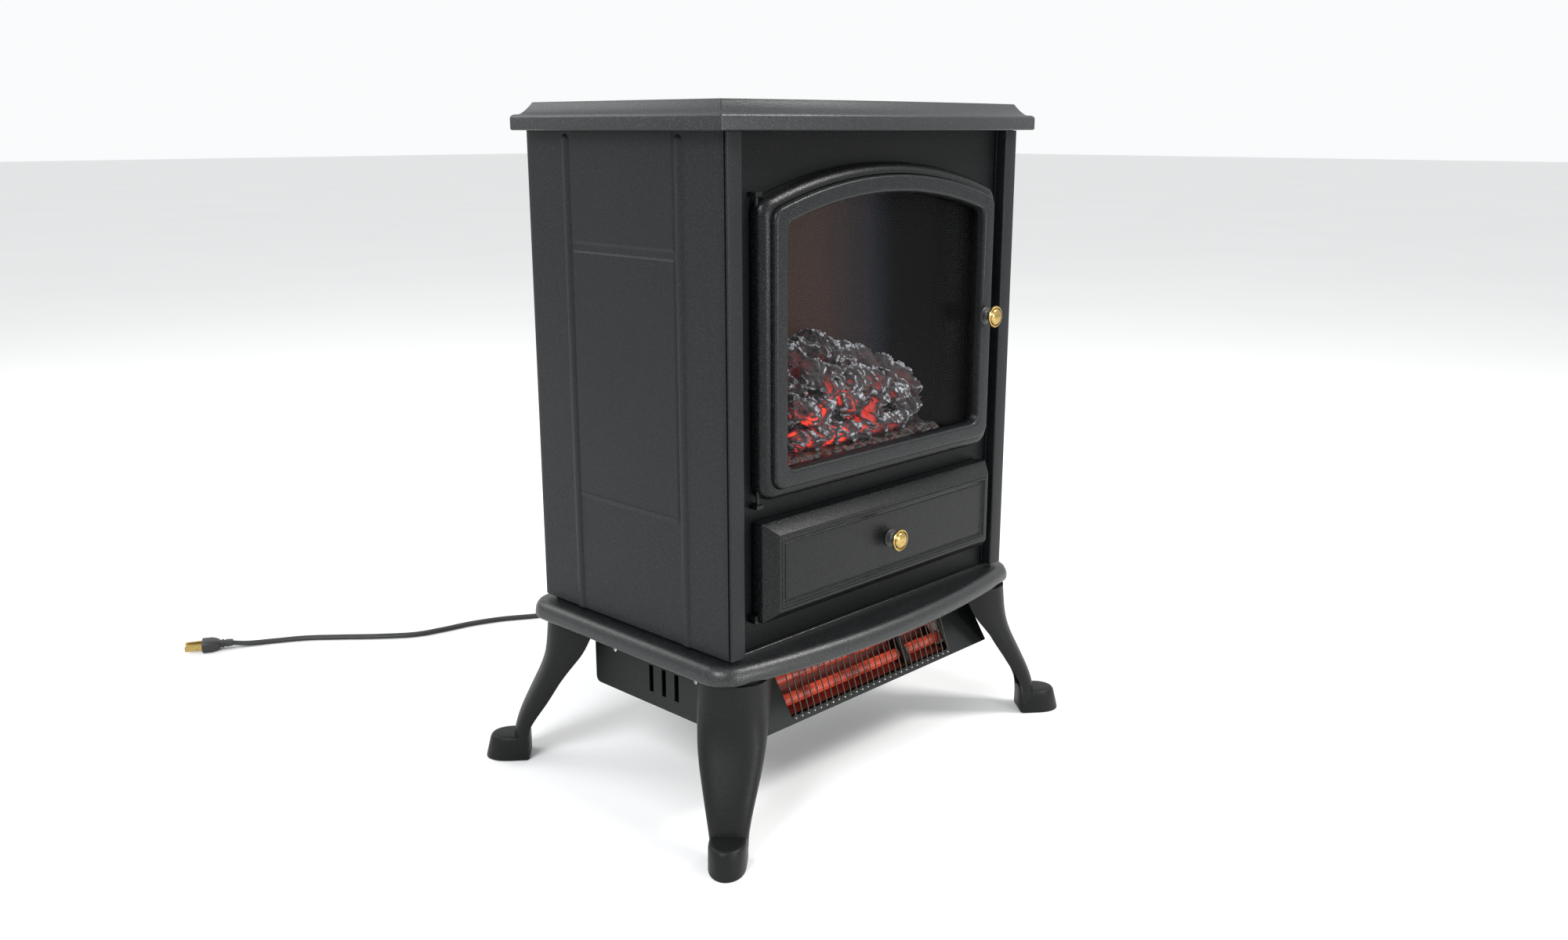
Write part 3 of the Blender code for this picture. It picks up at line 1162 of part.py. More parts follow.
def tie(cx, cy, outer, inner):
    """A strap over the section of the coil, open against the floor."""
    reach, skin = FIT_GAP, TIE_SKIN
    outside = rectangle(cx + inner - reach - skin, cx + outer + reach + skin,
                        TIE_LIFT, COIL_HEIGHT + reach + skin)
    strap = plate("cord_tie", [outside], cy - TIE_WIDTH / 2, cy + TIE_WIDTH / 2, "y", flexible_black())
    room = box("tie_room", (cx + inner - COIL_BULGE, cy - TIE_WIDTH, -0.01),
               (cx + outer + COIL_BULGE, cy + TIE_WIDTH, COIL_HEIGHT + reach), flexible_black())
    return cut(strap, room)


def plug(before, end):
    """A flat two-blade plug that continues the line of the cord."""
    along = (end - before)
    along.z = 0
    along.normalize()
    across = Vector((-along.y, along.x, 0))
    length, width, height = PLUG_BODY
    start = end + along * FIT_GAP * 2
    sections = []
    for share, wide, tall in ((0.0, 0.50, 0.66), (0.30, 0.62, 0.75), (0.55, 1.0, 1.0), (1.0, 1.0, 1.0)):
        centre = start + along * length * share
        middle = Vector((centre.x, centre.y, height / 2 + FIT_GAP))
        half_w, half_h = width / 2 * wide, height / 2 * tall
        outline = rounded(rectangle(-half_w, half_w, -half_h, half_h), [half_h * 0.4] * 4, 3)
        sections.append([middle + across * a + Vector((0, 0, b)) for a, b in outline])
    body = loft("plug", sections, flexible_black())
    face = start + along * length
    for index, side in enumerate((-1, 1)):
        foot = face + across * side * BLADE_SPACING / 2
        blade = box("blade_%d" % index, (-0.002, -BLADE[1] / 2, -BLADE[2] / 2),
                    (BLADE[0], BLADE[1] / 2, BLADE[2] / 2), brass())
        turn = Matrix(((along.x, across.x, 0, foot.x), (along.y, across.y, 0, foot.y),
                       (0, 0, 1, height / 2 + FIT_GAP), (0, 0, 0, 1)))
        blade.data.transform(turn)
        fuse(body, blade)
    return body


# ---------------------------------------------------------------- assembly
def main():
    """Build every piece in order."""
    global PARTS, CUTTERS
    clear_scene()
    PARTS = new_collection("electric_stove")
    CUTTERS = new_collection("cutters")
    corner_post("left_corner_post", -1)
    corner_post("right_corner_post", 1)
    side_panel("left_side_panel", -1)
    side_panel("right_side_panel", 1)
    back_panel()
    fascia_panel()
    top_plate()
    base_plate()
    for name, side_x, side_y in (("leg_front_left", -1, -1), ("leg_front_right", 1, -1),
                                 ("leg_rear_left", -1, 1), ("leg_rear_right", 1, 1)):
        leg(name, side_x, side_y)
    firebox()
    flame_effect()
    door()
    control_flap()
    controls()
    heater_box()
    reflector()
    quartz_tubes()
    guard_grille()
    strain_relief()
    cord()


main()
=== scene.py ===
"""A black electric stove on four cast legs, with a log fire behind an arched glass door.

Metres, +Z up. The front faces -Y, and the origin is on the floor in the middle of the toes.
Shapes are surfaces worked out as whole arrays: nested outlines, lofted rings, and profiles
carried along a path. Finishes are node materials on Object coordinates.
"""

import logging
import math
from dataclasses import dataclass, field
from enum import Enum

import bpy
import numpy as np
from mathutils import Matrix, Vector


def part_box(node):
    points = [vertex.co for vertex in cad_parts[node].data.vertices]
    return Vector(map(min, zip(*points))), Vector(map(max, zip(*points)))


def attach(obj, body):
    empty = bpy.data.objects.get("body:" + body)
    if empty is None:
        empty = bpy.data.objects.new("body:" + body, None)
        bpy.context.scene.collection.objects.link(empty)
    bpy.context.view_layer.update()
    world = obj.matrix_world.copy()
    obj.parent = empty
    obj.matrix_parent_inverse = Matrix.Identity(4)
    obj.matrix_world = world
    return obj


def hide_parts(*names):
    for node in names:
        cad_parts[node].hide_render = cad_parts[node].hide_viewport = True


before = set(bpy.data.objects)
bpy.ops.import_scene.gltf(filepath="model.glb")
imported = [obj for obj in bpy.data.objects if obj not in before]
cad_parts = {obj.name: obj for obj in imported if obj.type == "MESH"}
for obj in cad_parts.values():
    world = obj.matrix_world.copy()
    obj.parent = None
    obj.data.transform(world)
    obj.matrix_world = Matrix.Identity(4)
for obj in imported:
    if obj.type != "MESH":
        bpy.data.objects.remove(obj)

log = logging.getLogger("stove")
Array = np.ndarray
MM = 0.001
SIDES = (("left", -1), ("right", 1))
FRONT = -0.1130            # plane of the front faces of the corner posts
REAR = FRONT + 0.2310
HALF = 0.1736              # of the body's width
BODY_LOW, BODY_HIGH = 0.1490, 0.5384
FASCIA = FRONT + 0.0099
POST_INNER = 0.1580         # x of the posts' inner faces
POST_DEPTH = 0.0156
LAP = 0.0015                # of the side sheets over the posts
RIBS = (0.050, 0.181)       # behind the front of the posts


class Body(Enum):
    """The rigid bodies that the pieces ride on."""

    STOVE = "stove"
    DOOR = "door"
    FLAP = "flap"
    FLICKER = "flicker"
    THERMOSTAT = "thermostat"
    HEAT_SWITCH = "heat_switch"
    FLAME_SWITCH = "flame_switch"


# ---------------------------------------------------------------- finishes
class Bench:
    """A new node material, with short calls that add nodes to it."""

    def __init__(self, name: str) -> None:
        """Start a material.

        Args:
            name: the material's name.
        """
        self.material = bpy.data.materials.new(name)
        self.material.use_nodes = True
        self.tree = self.material.node_tree
        self.shader = self.tree.nodes["Principled BSDF"]
        self.place = self.tree.nodes.new("ShaderNodeTexCoord").outputs["Object"]

    def add(self, kind: str, links: dict | None = None, **settings) -> bpy.types.Node:
        """Add a node.

        Args:
            kind: the node type, without its ShaderNode prefix.
            links: input name or number to a value or an output socket.
            settings: attributes of the node.

        Returns:
            The node.
        """
        node = self.tree.nodes.new("ShaderNode" + kind)
        for key, value in settings.items():
            setattr(node, key, value)
        for key, value in (links or {}).items():
            if isinstance(value, bpy.types.NodeSocket):
                self.tree.links.new(value, node.inputs[key])
            else:
                node.inputs[key].default_value = value
        return node

    def axes(self):
        """Return the x, y and z sockets of a place on the piece."""
        return self.add("SeparateXYZ", {"Vector": self.place}).outputs

    def noise(self, scale: float, detail: float = 3.0, rough: float = 0.5,
              stretch: tuple = (1, 1, 1)):
        """Return a noise value socket of so many lumps a metre, stretched along the axes."""
        source = self.place
        if stretch != (1, 1, 1):
            source = self.add("Mapping", {"Vector": source, "Scale": stretch}).outputs[0]
        links = {"Vector": source, "Scale": scale, "Detail": detail, "Roughness": rough}
        return self.add("TexNoise", links).outputs["Fac"]

    def remap(self, value, low: float, high: float, to_low: float = 0.0, to_high: float = 1.0):
        """Return a value mapped linearly, and clamped, from one range to another."""
        links = {"Value": value, "From Min": low, "From Max": high,
                 "To Min": to_low, "To Max": to_high}
        return self.add("MapRange", links, clamp=True).outputs[0]

    def blend(self, share, first: tuple, second: tuple):
        """Return a colour socket between two colours or colour sockets."""
        node = self.add("Mix", data_type="RGBA")
        for key, value in ((0, share), (6, first), (7, second)):
            if isinstance(value, bpy.types.NodeSocket):
                self.tree.links.new(value, node.inputs[key])
            else:
                node.inputs[key].default_value = (*value, 1) if key else value
        return node.outputs[2]

    def tinted(self, value, low: float, high: float, first: tuple, second: tuple):
        """Return a colour that goes from one to another as a value goes from low to high."""
        return self.blend(self.remap(value, low, high), first, second)

    def math(self, operation: str, first, second=0.0):
        """Return the value of one arithmetic node."""
        return self.add("Math", {0: first, 1: second}, operation=operation).outputs[0]

    def bump(self, height, distance: float, strength: float = 1.0, under=None):
        """Return a normal socket raised by a height value, on top of another normal."""
        links = {"Height": height, "Distance": distance, "Strength": strength}
        if under is not None:
            links["Normal"] = under
        return self.add("Bump", links).outputs[0]

    def set(self, **values) -> None:
        """Set or link the shader's sockets; an underscore stands for a space in a name."""
        for key, value in values.items():
            socket = self.shader.inputs[key.replace("_", " ")]
            if isinstance(value, bpy.types.NodeSocket):
                self.tree.links.new(value, socket)
            elif isinstance(value, tuple) and len(value) == 3:
                socket.default_value = (*value, 1)
            else:
                socket.default_value = value


@dataclass(frozen=True)
class Enamel:
    """A baked powder coat: a fine orange-peel grain with a sparse pale fleck."""

    name: str
    colour: tuple
    roughness: float = 0.46
    grain: float = 0.10
    fleck: float = 0.35
    gloss: float = 0.5

    def build(self) -> bpy.types.Material:
        """Return the material: grain from two noises, and flecks where a third one peaks."""
        b = Bench(self.name)
        fine = b.noise(1150, 2)
        peel = b.noise(380, 3)
        broad = b.noise(9, 3)
        flecks = b.math("MULTIPLY", b.remap(b.noise(1300, 1), 0.58, 0.72), self.fleck)
        tint = b.tinted(broad, 0.3, 0.7, *(tuple(share * c for c in self.colour)
                                           for share in (0.90, 1.10)))
        pale = tuple(0.03 + 2.6 * c for c in self.colour)
        b.set(Base_Color=b.blend(flecks, tint, pale), Specular_IOR_Level=self.gloss,
              Roughness=b.remap(fine, 0.3, 0.7, self.roughness - 0.07, self.roughness + 0.09),
              Normal=b.bump(fine, self.grain * MM, 0.9, b.bump(peel, 0.00022, 0.5)))
        return b.material


@dataclass(frozen=True)
class Brass:
    """Lacquered brass, a little duller in patches and finely scratched."""

    name: str
    colour: tuple = (0.52, 0.37, 0.13)
    roughness: float = 0.22

    def build(self) -> bpy.types.Material:
        """Return the material: a metal whose colour and gloss follow a broad noise."""
        b = Bench(self.name)
        patch = b.noise(520, 4, 0.6)
        dull = tuple(0.62 * c for c in self.colour)
        b.set(Base_Color=b.tinted(patch, 0.35, 0.7, self.colour, dull), Metallic=1.0,
              Roughness=b.remap(patch, 0.3, 0.75, self.roughness - 0.02, self.roughness + 0.08),
              Normal=b.bump(b.noise(2600, 2, 0.5, (1, 1, 0.15)), 0.00002, 0.4))
        return b.material


@dataclass(frozen=True)
class Steel:
    """Sheet or wire metal, brushed along one axis and clouded."""

    name: str
    colour: tuple
    roughness: float = 0.3
    brushed: tuple = (0.04, 1, 1)
    metallic: float = 1.0

    def build(self) -> bpy.types.Material:
        """Return the material: gloss and grain from a noise drawn out along the brushing."""
        b = Bench(self.name)
        lines = b.noise(1900, 3, 0.6, self.brushed)
        cloud = b.noise(55, 4)
        low = tuple(0.72 * c for c in self.colour)
        b.set(Base_Color=b.tinted(cloud, 0.3, 0.7, low, self.colour), Metallic=self.metallic,
              Roughness=b.remap(lines, 0.3, 0.7, self.roughness - 0.08, self.roughness + 0.12),
              Normal=b.bump(lines, 0.00003, 0.5))
        return b.material


@dataclass(frozen=True)
class Moulding:
    """Moulded plastic, rubber or ceramic with a fine spark-eroded texture."""

    name: str
    colour: tuple
    roughness: float = 0.5
    grain: float = 0.04
    scale: float = 1700.0

    def build(self) -> bpy.types.Material:
        """Return the material: two noises for the texture and the wear."""
        b = Bench(self.name)
        fine = b.noise(self.scale, 3)
        broad = b.noise(40, 3)
        light = tuple(1.3 * c + 0.004 for c in self.colour)
        b.set(Base_Color=b.tinted(broad, 0.35, 0.7, self.colour, light),
              Roughness=b.remap(fine, 0.3, 0.7, self.roughness - 0.08, self.roughness + 0.1),
              Normal=b.bump(fine, self.grain * MM, 0.7))
        return b.material


@dataclass(frozen=True)
class DoorPane:
    """Clear glass that lets the fire through, a little smoky, with a dust haze."""

    name: str
    colour: tuple = (0.03, 0.03, 0.032)
    cover: float = 0.05

    def build(self) -> bpy.types.Material:
        """Return the material: alpha for the clear part, with a faint haze from a noise."""
        b = Bench(self.name)
        b.set(Base_Color=self.colour, IOR=1.5, Alpha=self.cover, Specular_IOR_Level=0.5,
              Roughness=b.remap(b.noise(14, 4), 0.35, 0.75, 0.03, 0.10))
        b.material.surface_render_method = "BLENDED"
        return b.material


@dataclass(frozen=True)
class ScreenGlow:
    """The flame screen: dark, with a painted glow of the lamps behind it, warm brown on the left,
    that falls to painted shade, blue-black, on the right.
    """

    name: str

    def build(self) -> bpy.types.Material:
        """Return the material: painted glow and shade by place across the screen, with soft upright
        bands, also used as emission.
        """
        b = Bench(self.name)
        axes = b.axes()
        wave = b.noise(22, 3, 0.5, (1, 1, 0.2))
        shift = b.math("ADD", axes[0], b.remap(wave, 0.2, 0.8, -0.010, 0.010))
        # painted glow of the lamps: warm brown on the left, a little lighter higher up
        warm = b.tinted(axes[2], 0.33, 0.50, (0.036, 0.018, 0.015), (0.044, 0.031, 0.026))
        # painted shade: the right side falls to blue-black
        cool = b.tinted(shift, 0.040, 0.068, (0.012, 0.014, 0.019), (0.0016, 0.0016, 0.0020))
        hue = b.tinted(shift, -0.018, 0.046, warm, cool)
        # the painted glow also feeds the emission, so the screen glows though it is no lamp
        b.set(Base_Color=b.blend(0.78, hue, (0, 0, 0)), Roughness=0.40, Specular_IOR_Level=0.06,
              Emission_Color=hue, Emission_Strength=0.80,
              Normal=b.bump(b.noise(90, 2), 0.00004, 0.3))
        return b.material


@dataclass(frozen=True)
class Bark:
    """Charred log casting: dark bark, white ash on the ridges and a red glow in the clefts."""

    name: str
    glow: float = 1.45

    def build(self) -> bpy.types.Material:
        """Return the material: the ridge value stored on the mesh picks ash or glow."""
        b = Bench(self.name)
        ridge = b.add("Attribute", attribute_name="ridge").outputs["Fac"]
        axes = b.axes()
        fine = b.noise(430, 5, 0.65)
        ash = b.math("MULTIPLY", b.remap(ridge, 0.66, 0.76), b.remap(fine, 0.42, 0.56))
        char = b.tinted(fine, 0.3, 0.7, (0.008, 0.006, 0.007), (0.034, 0.029, 0.030))
        low = b.remap(axes[2], 0.322, 0.352, 1.0, 0.14)
        left = b.remap(axes[0], -0.040, 0.060, 1.0, 0.18)
        patch = b.remap(b.noise(44, 2), 0.42, 0.54)
        cleft = b.remap(ridge, 0.38, 0.58, 1.0, 0.0)
        share = b.math("MULTIPLY", b.math("MULTIPLY", low, left), b.math("MULTIPLY", patch, cleft))
        colour = b.tinted(share, 0.20, 0.9, (0.26, 0.009, 0.014), (1.0, 0.045, 0.016))
        b.set(Base_Color=b.blend(ash, char, (0.36, 0.37, 0.40)), Roughness=0.85,
              Emission_Color=b.blend(share, (0, 0, 0), colour), Emission_Strength=self.glow,
              Normal=b.bump(fine, 0.0009, 0.8))
        return b.material


@dataclass(frozen=True)
class Ember:
    """A cast bed of embers: cells of dark crust, with light between them."""

    name: str
    glow: float = 0.10

    def build(self) -> bpy.types.Material:
        """Return the material: distance to the edge of a cell sets crust or glow."""
        b = Bench(self.name)
        links = {"Vector": b.place, "Scale": 120.0}
        cells = b.add("TexVoronoi", links, feature="DISTANCE_TO_EDGE").outputs["Distance"]
        crack = b.remap(cells, 0.0, 0.12, 1.0, 0.0)
        share = b.math("MULTIPLY", crack, b.remap(b.axes()[0], -0.08, 0.07, 1.0, 0.10))
        b.set(Base_Color=b.blend(crack, (0.008, 0.007, 0.007), (0.03, 0.010, 0.008)),
              Roughness=0.55, Normal=b.bump(b.noise(600, 4), 0.0005, 0.8),
              Emission_Color=b.blend(share, (0, 0, 0), (0.9, 0.06, 0.02)),
              Emission_Strength=self.glow)
        return b.material


@dataclass(frozen=True)
class HotQuartz:
    """A quartz tube with its wound element alight: bands along the tube, cooler at the ends."""

    name: str
    glow: float = 0.68

    def build(self) -> bpy.types.Material:
        """Return the material: a fast wave along X for the winding, under a slow patchy one."""
        b = Bench(self.name)
        links = {"Vector": b.place, "Scale": 130.0, "Distortion": 1.6, "Detail": 2.0}
        wave = b.add("TexWave", links, wave_type="BANDS", bands_direction="X").outputs["Fac"]
        patch = b.remap(b.noise(48, 3, 0.6), 0.40, 0.62, 0.12, 1.0)
        ends = b.remap(b.math("ABSOLUTE", b.axes()[0]), 0.084, 0.108, 1.0, 0.05)
        heat = b.math("MULTIPLY", b.math("MULTIPLY", patch, ends),
                      b.remap(wave, 0.0, 1.0, 0.55, 1.0))
        b.set(Base_Color=(0.05, 0.022, 0.018), Roughness=0.14, Coat_Weight=0.4,
              Emission_Color=b.blend(heat, (0.050, 0.005, 0.004), (1.0, 0.105, 0.045)),
              Emission_Strength=self.glow)
        return b.material


@dataclass
class Finishes:
    """Every finish, built once and looked up by its short name."""

    made: dict = field(default_factory=dict)

    def build(self) -> "Finishes":
        """Build all of the materials and return self."""
        enamels = {
            "side": ("charcoal_powder_coat", (0.0056, 0.0066, 0.0074), 0.42, 0.10, 0.5, 0.22),
            "top": ("top_powder_coat", (0.0100, 0.0114, 0.0126), 0.38, 0.14, 0.8, 0.38),
            "base": ("base_powder_coat", (0.0060, 0.0068, 0.0072), 0.34, 0.18, 1.0, 0.46),
            # front: the side coat made darker, painted shade for the dimmer light on the front
            # faces
            "front": ("front_powder_coat_painted_shade", (0.0026, 0.0031, 0.0035), 0.42, 0.10, 0.5, 0.13),
            "cast": ("cast_enamel", (0.0022, 0.0026, 0.0030), 0.31, 0.15, 0.7, 0.21),
            "trim": ("trim_enamel", (0.0046, 0.0054, 0.0060), 0.34, 0.16, 0.9, 0.25),
            "leg": ("leg_enamel", (0.0042, 0.0046, 0.0045), 0.44, 0.10, 0.2, 0.18),
            "heater": ("heater_powder_coat", (0.0080, 0.0094, 0.0090), 0.46, 0.10, 0.2, 0.22),
            "dark": ("firebox_black", (0.0020, 0.0020, 0.0022), 0.60, 0.05, 0.1, 0.05),
        }
        kinds = {key: Enamel(*values) for key, values in enamels.items()} | {
            "brass": Brass("lacquered_brass"),
            "bright": Steel("bright_steel", (0.62, 0.62, 0.60), 0.26),
            "zinc": Steel("zinc_sheet", (0.40, 0.41, 0.42), 0.42, (0.3, 1, 1), 0.9),
            "guard": Steel("tinted_guard_wire", (0.070, 0.060, 0.048), 0.42, (1, 1, 0.1), 0.75),
            # the reflector's red colour is a painted reflection of the glowing quartz tubes
            "mirror": Steel("reflector_painted_red_glow", (0.24, 0.085, 0.070), 0.52, (0.02, 1, 1)),
            "plastic": Moulding("black_plastic", (0.012, 0.012, 0.013), 0.42),
            "key": Moulding("switch_key", (0.020, 0.020, 0.021), 0.30, 0.015),
            "mark": Moulding("white_marking", (0.62, 0.62, 0.60), 0.5, 0.01),
            "rubber": Moulding("cord_sheath", (0.011, 0.011, 0.012), 0.46, 0.03, 900.0),
            "ceramic": Moulding("white_ceramic", (0.66, 0.63, 0.57), 0.62, 0.05, 800.0),
            "bulb": Moulding("frosted_bulb", (0.70, 0.69, 0.66), 0.25, 0.01),
            "pane": DoorPane("door_pane"),
            # the flame screen's finish is a painted glow of the lamps, with painted shade on its
            # right
            "smoke": ScreenGlow("screen_painted_glow"),
            "bark": Bark("charred_bark"),
            "ember": Ember("ember_crust"),
            "quartz": HotQuartz("hot_quartz"),
        }
        self.made = {key: kind.build() for key, kind in kinds.items()}
        return self

    def __getitem__(self, key: str) -> bpy.types.Material:
        """Return one material."""
        return self.made[key]


# ---------------------------------------------------------------- surfaces
class Sheaf:
    """Closed surfaces gathered into one mesh, with outward faces."""

    def __init__(self) -> None:
        """Start empty."""
        self.points: list[Array] = []
        self.faces: list[list[int]] = []
        self.marks: list[Array] = []
        self.count = 0

    def add(self, points: Array, faces: list, marks: Array | None = None) -> None:
        """Add a closed surface, turned so that its volume is positive.

        Args:
            points: (n, 3) places.
            faces: lists of point numbers.
            marks: (n,) values kept on the points.
        """
        if signed_volume(points, faces) < 0:
            faces = [face[::-1] for face in faces]
        self.points.append(points)
        self.faces += [[number + self.count for number in face] for face in faces]
        self.marks.append(np.zeros(len(points)) if marks is None else marks)
        self.count += len(points)

    def loft(self, rings: Array, ends: bool = True, marks: Array | None = None) -> "Sheaf":
        """Add a skin over rings of points.

        Args:
            rings: (k, n, 3) rings, each closed.
            ends: True for a flat cap on each end, False to join the last ring to the first.
            marks: (k, n) values kept on the points.

        Returns:
            The sheaf.
        """
        k, n = rings.shape[:2]
        i = np.arange(k - 1 if ends else k)[:, None]
        j = np.arange(n)[None, :]
        after, beside = (i + 1) % k, (j + 1) % n
        quads = np.stack([i * n + j, i * n + beside, after * n + beside, after * n + j], -1)
        faces = quads.reshape(-1, 4).tolist()
        if ends:
            faces.append(list(range(n))[::-1])
            faces.append(list(range((k - 1) * n, k * n)))
        self.add(rings.reshape(-1, 3), faces, None if marks is None else marks.reshape(-1))
        return self

    def ball_end(self, rings: Array, marks: Array | None = None) -> "Sheaf":
        """Add a skin whose end rings are points: each end is a fan round one pole.

        Args:
            rings: (k, n, 3) rings, of which the first and last have one place each.
            marks: (k, n) values kept on the points.

        Returns:
            The sheaf.
        """
        k, n = rings.shape[:2]
        inner = rings[1:-1].reshape(-1, 3)
        points = np.concatenate([inner, rings[0, :1], rings[-1, :1]])
        i, j = np.arange(k - 3)[:, None], np.arange(n)[None, :]
        beside = (j + 1) % n
        quads = np.stack([i * n + j, i * n + beside, (i + 1) * n + beside, (i + 1) * n + j], -1)
        faces = quads.reshape(-1, 4).tolist()
        low, high, base = len(inner), len(inner) + 1, (k - 3) * n
        ring = np.arange(n)
        faces += np.stack([np.full(n, low), (ring + 1) % n, ring], -1).tolist()
        faces += np.stack([np.full(n, high), base + ring, base + (ring + 1) % n], -1).tolist()
        if marks is not None:
            marks = np.concatenate([marks[1:-1].reshape(-1), marks[0, :1], marks[-1, :1]])
        self.add(points, faces, marks)
        return self

    def block(self, low: tuple, high: tuple, soft: float = 0.0004) -> "Sheaf":
        """Add a box between two corners with its edges eased by soft: nested rounded rectangles."""
        low, high = np.array(low, float), np.array(high, float)
        soft = min(soft, *(0.45 * (high - low)))
        stack = []
        for inset, z in ((soft, low[2]), (0, low[2] + soft), (0, high[2] - soft), (soft, high[2])):
            corners = rectangle(low[0] + inset, high[0] - inset, low[1] + inset, high[1] - inset)
            stack.append(lift(rounded(corners, soft * 1.01 - inset * 0.5, 2), z))
        return self.loft(np.array(stack))

    def rod(self, start: tuple, end: tuple, radius: float, sides: int = 24,
            soft: float = 0.0003) -> "Sheaf":
        """Add a round bar between two points, with eased ends."""
        start, end = np.array(start, float), np.array(end, float)
        length = np.linalg.norm(end - start)
        soft = min(soft, radius * 0.5, length * 0.3)
        profile = [(radius - soft, 0), (radius, soft), (radius, length - soft),
                   (radius - soft, length)]
        return self.turned(profile, start, end - start, sides)

    def turned(self, profile: list, foot: tuple, direction: tuple, sides: int = 48) -> "Sheaf":
        """Add a turned shape.

        Args:
            profile: (radius, height) pairs from one end to the other, all radii over 0.
            foot: the point where the height is 0.
            direction: the way that the height grows.
            sides: points in a ring.

        Returns:
            The sheaf.
        """
        profile = np.array(profile, float)
        side, other, along = axes_along(np.array(direction, float))
        angle = np.linspace(0, 2 * np.pi, sides, endpoint=False)
        round_ = np.cos(angle)[:, None] * side + np.sin(angle)[:, None] * other
        rings = (np.array(foot) + profile[:, 1, None, None] * along
                 + profile[:, 0, None, None] * round_[None])
        return self.loft(rings)

    def build(self, name: str, finish: bpy.types.Material, body: Body, slot: str,
              *nodes: str, sharp: float = 32.0) -> bpy.types.Object:
        """Make the object, dress it, and say what it rides on and which nodes it stands for.

        Args:
            name: the object's name.
            finish: its material.
            body: the body it rides on.
            slot: not used.
            nodes: the nodes that it replaces.
            sharp: edges over this many degrees stay sharp.

        Returns:
            The object.
        """
        mesh = bpy.data.meshes.new(name)
        mesh.from_pydata(np.concatenate(self.points).tolist(), [], self.faces)
        if any(mark.any() for mark in self.marks):
            mark = mesh.attributes.new("ridge", "FLOAT", "POINT")
            mark.data.foreach_set("value", np.concatenate(self.marks).astype(np.float32))
        mesh.shade_smooth()
        mesh.set_sharp_from_angle(angle=math.radians(sharp))
        mesh.materials.append(finish)
        made = bpy.data.objects.new(name, mesh)
        bpy.context.scene.collection.objects.link(made)
        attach(made, body.value)
        if nodes:
            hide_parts(*nodes)
        log.info("%s: %d faces", name, len(self.faces))
        return made


def signed_volume(points: Array, faces: list) -> float:
    """Return the volume inside faces, from the triple product of each face's fan of triangles."""
    total = 0.0
    sizes = np.array([len(face) for face in faces])
    centre = points.mean(0)
    for size in np.unique(sizes):
        group = np.array([face for face in faces if len(face) == size])
        first = points[group[:, 0]] - centre
        for step in range(1, size - 1):
            second, third = (points[group[:, step + late]] - centre for late in (0, 1))
            total += np.einsum("ij,ij->", first, np.cross(second, third))
    return total / 6


def axes_along(direction: Array) -> tuple[Array, Array, Array]:
    """Return two unit vectors square to a direction, and its own unit vector."""
    along = direction / np.linalg.norm(direction)
    hint = np.array([0.0, 0, 1]) if abs(along[2]) < 0.9 else np.array([1.0, 0, 0])
    side = np.cross(hint, along)
    side /= np.linalg.norm(side)
    return side, np.cross(along, side), along


def rectangle(left: float, right: float, low: float, high: float) -> Array:
    """Return four corners, counter-clockwise."""
    return np.array([(left, low), (right, low), (right, high), (left, high)], float)


def rounded(points: Array, radii: float | list, steps: int = 6) -> Array:
    """Round the corners of a polygon: each corner becomes an arc that meets its two sides.

    Args:
        points: (n, 2) corners, either way round.
        radii: one radius, or one for each corner; 0 keeps the corner.
        steps: segments in each arc.

    Returns:
        (m, 2) outline points.
    """
    points = np.asarray(points, float)
    radii = np.broadcast_to(np.asarray(radii, float), (len(points),))
    share = np.linspace(0, 1, steps + 1)[:, None]
    pieces = []
    for index, (corner, radius) in enumerate(zip(points, radii)):
        if radius <= 0:
            pieces.append(corner[None])
            continue
        back = points[index - 1] - corner
        on = points[(index + 1) % len(points)] - corner
        back, on = back / np.linalg.norm(back), on / np.linalg.norm(on)
        half = math.acos(float(np.clip(back @ on, -1, 1))) / 2
        reach = radius / math.tan(half)
        centre = corner + (back + on) / np.linalg.norm(back + on) * radius / math.sin(half)
        first, last = corner + back * reach - centre, corner + on * reach - centre
        sweep = math.pi - 2 * half
        pieces.append(centre + (np.sin((1 - share) * sweep) * first + np.sin(share * sweep) * last)
                      / math.sin(sweep))
    return np.concatenate(pieces)


def lift(outline: Array, z: float | Array) -> Array:
    """Return an (x, y) outline as points at a height."""
    return np.column_stack([outline, np.broadcast_to(z, len(outline))])


def upright(outline: Array, y: float) -> Array:
    """Return an (x, z) outline as points in a plane of one y."""
    return np.column_stack([outline[:, 0], np.full(len(outline), y), outline[:, 1]])


def across(outline: Array, x: float) -> Array:
    """Return a (y, z) outline as points in a plane of one x."""
    return np.column_stack([np.full(len(outline), x), outline])


def bowed(half: float, front: float, rear: float, bow: float, corner: float,
          steps: int = 32) -> Array:
    """Return an outline whose front edge is a parabola that bows out by bow at its middle.

    The first and last segments of the edge are long enough for the corners' arcs.

    Args:
        half: half the width.
        front: y of the front edge at its corners.
        rear: y of the rear edge.
        bow: how far the middle of the front edge is out.
        corner: the corners' radius.
        steps: segments in the front edge.

    Returns:
        (n, 2) outline points.
    """
    inner = 1 - 1.8 * corner / half
    share = np.concatenate([[-1.0], np.linspace(-inner, inner, steps - 1), [1.0]])
    edge = np.column_stack([half * share, front - bow * (1 - share ** 2)])
    points = np.concatenate([[(half, rear), (-half, rear)], edge])
    radii = [corner, corner, corner] + [0] * (steps - 1) + [corner]
    return rounded(points, radii, 6)


def headings(path: Array) -> Array:
    """Return the unit direction of a (k, 3) path at each of its points."""
    along = np.gradient(path, axis=0)
    return along / np.linalg.norm(along, axis=1, keepdims=True)


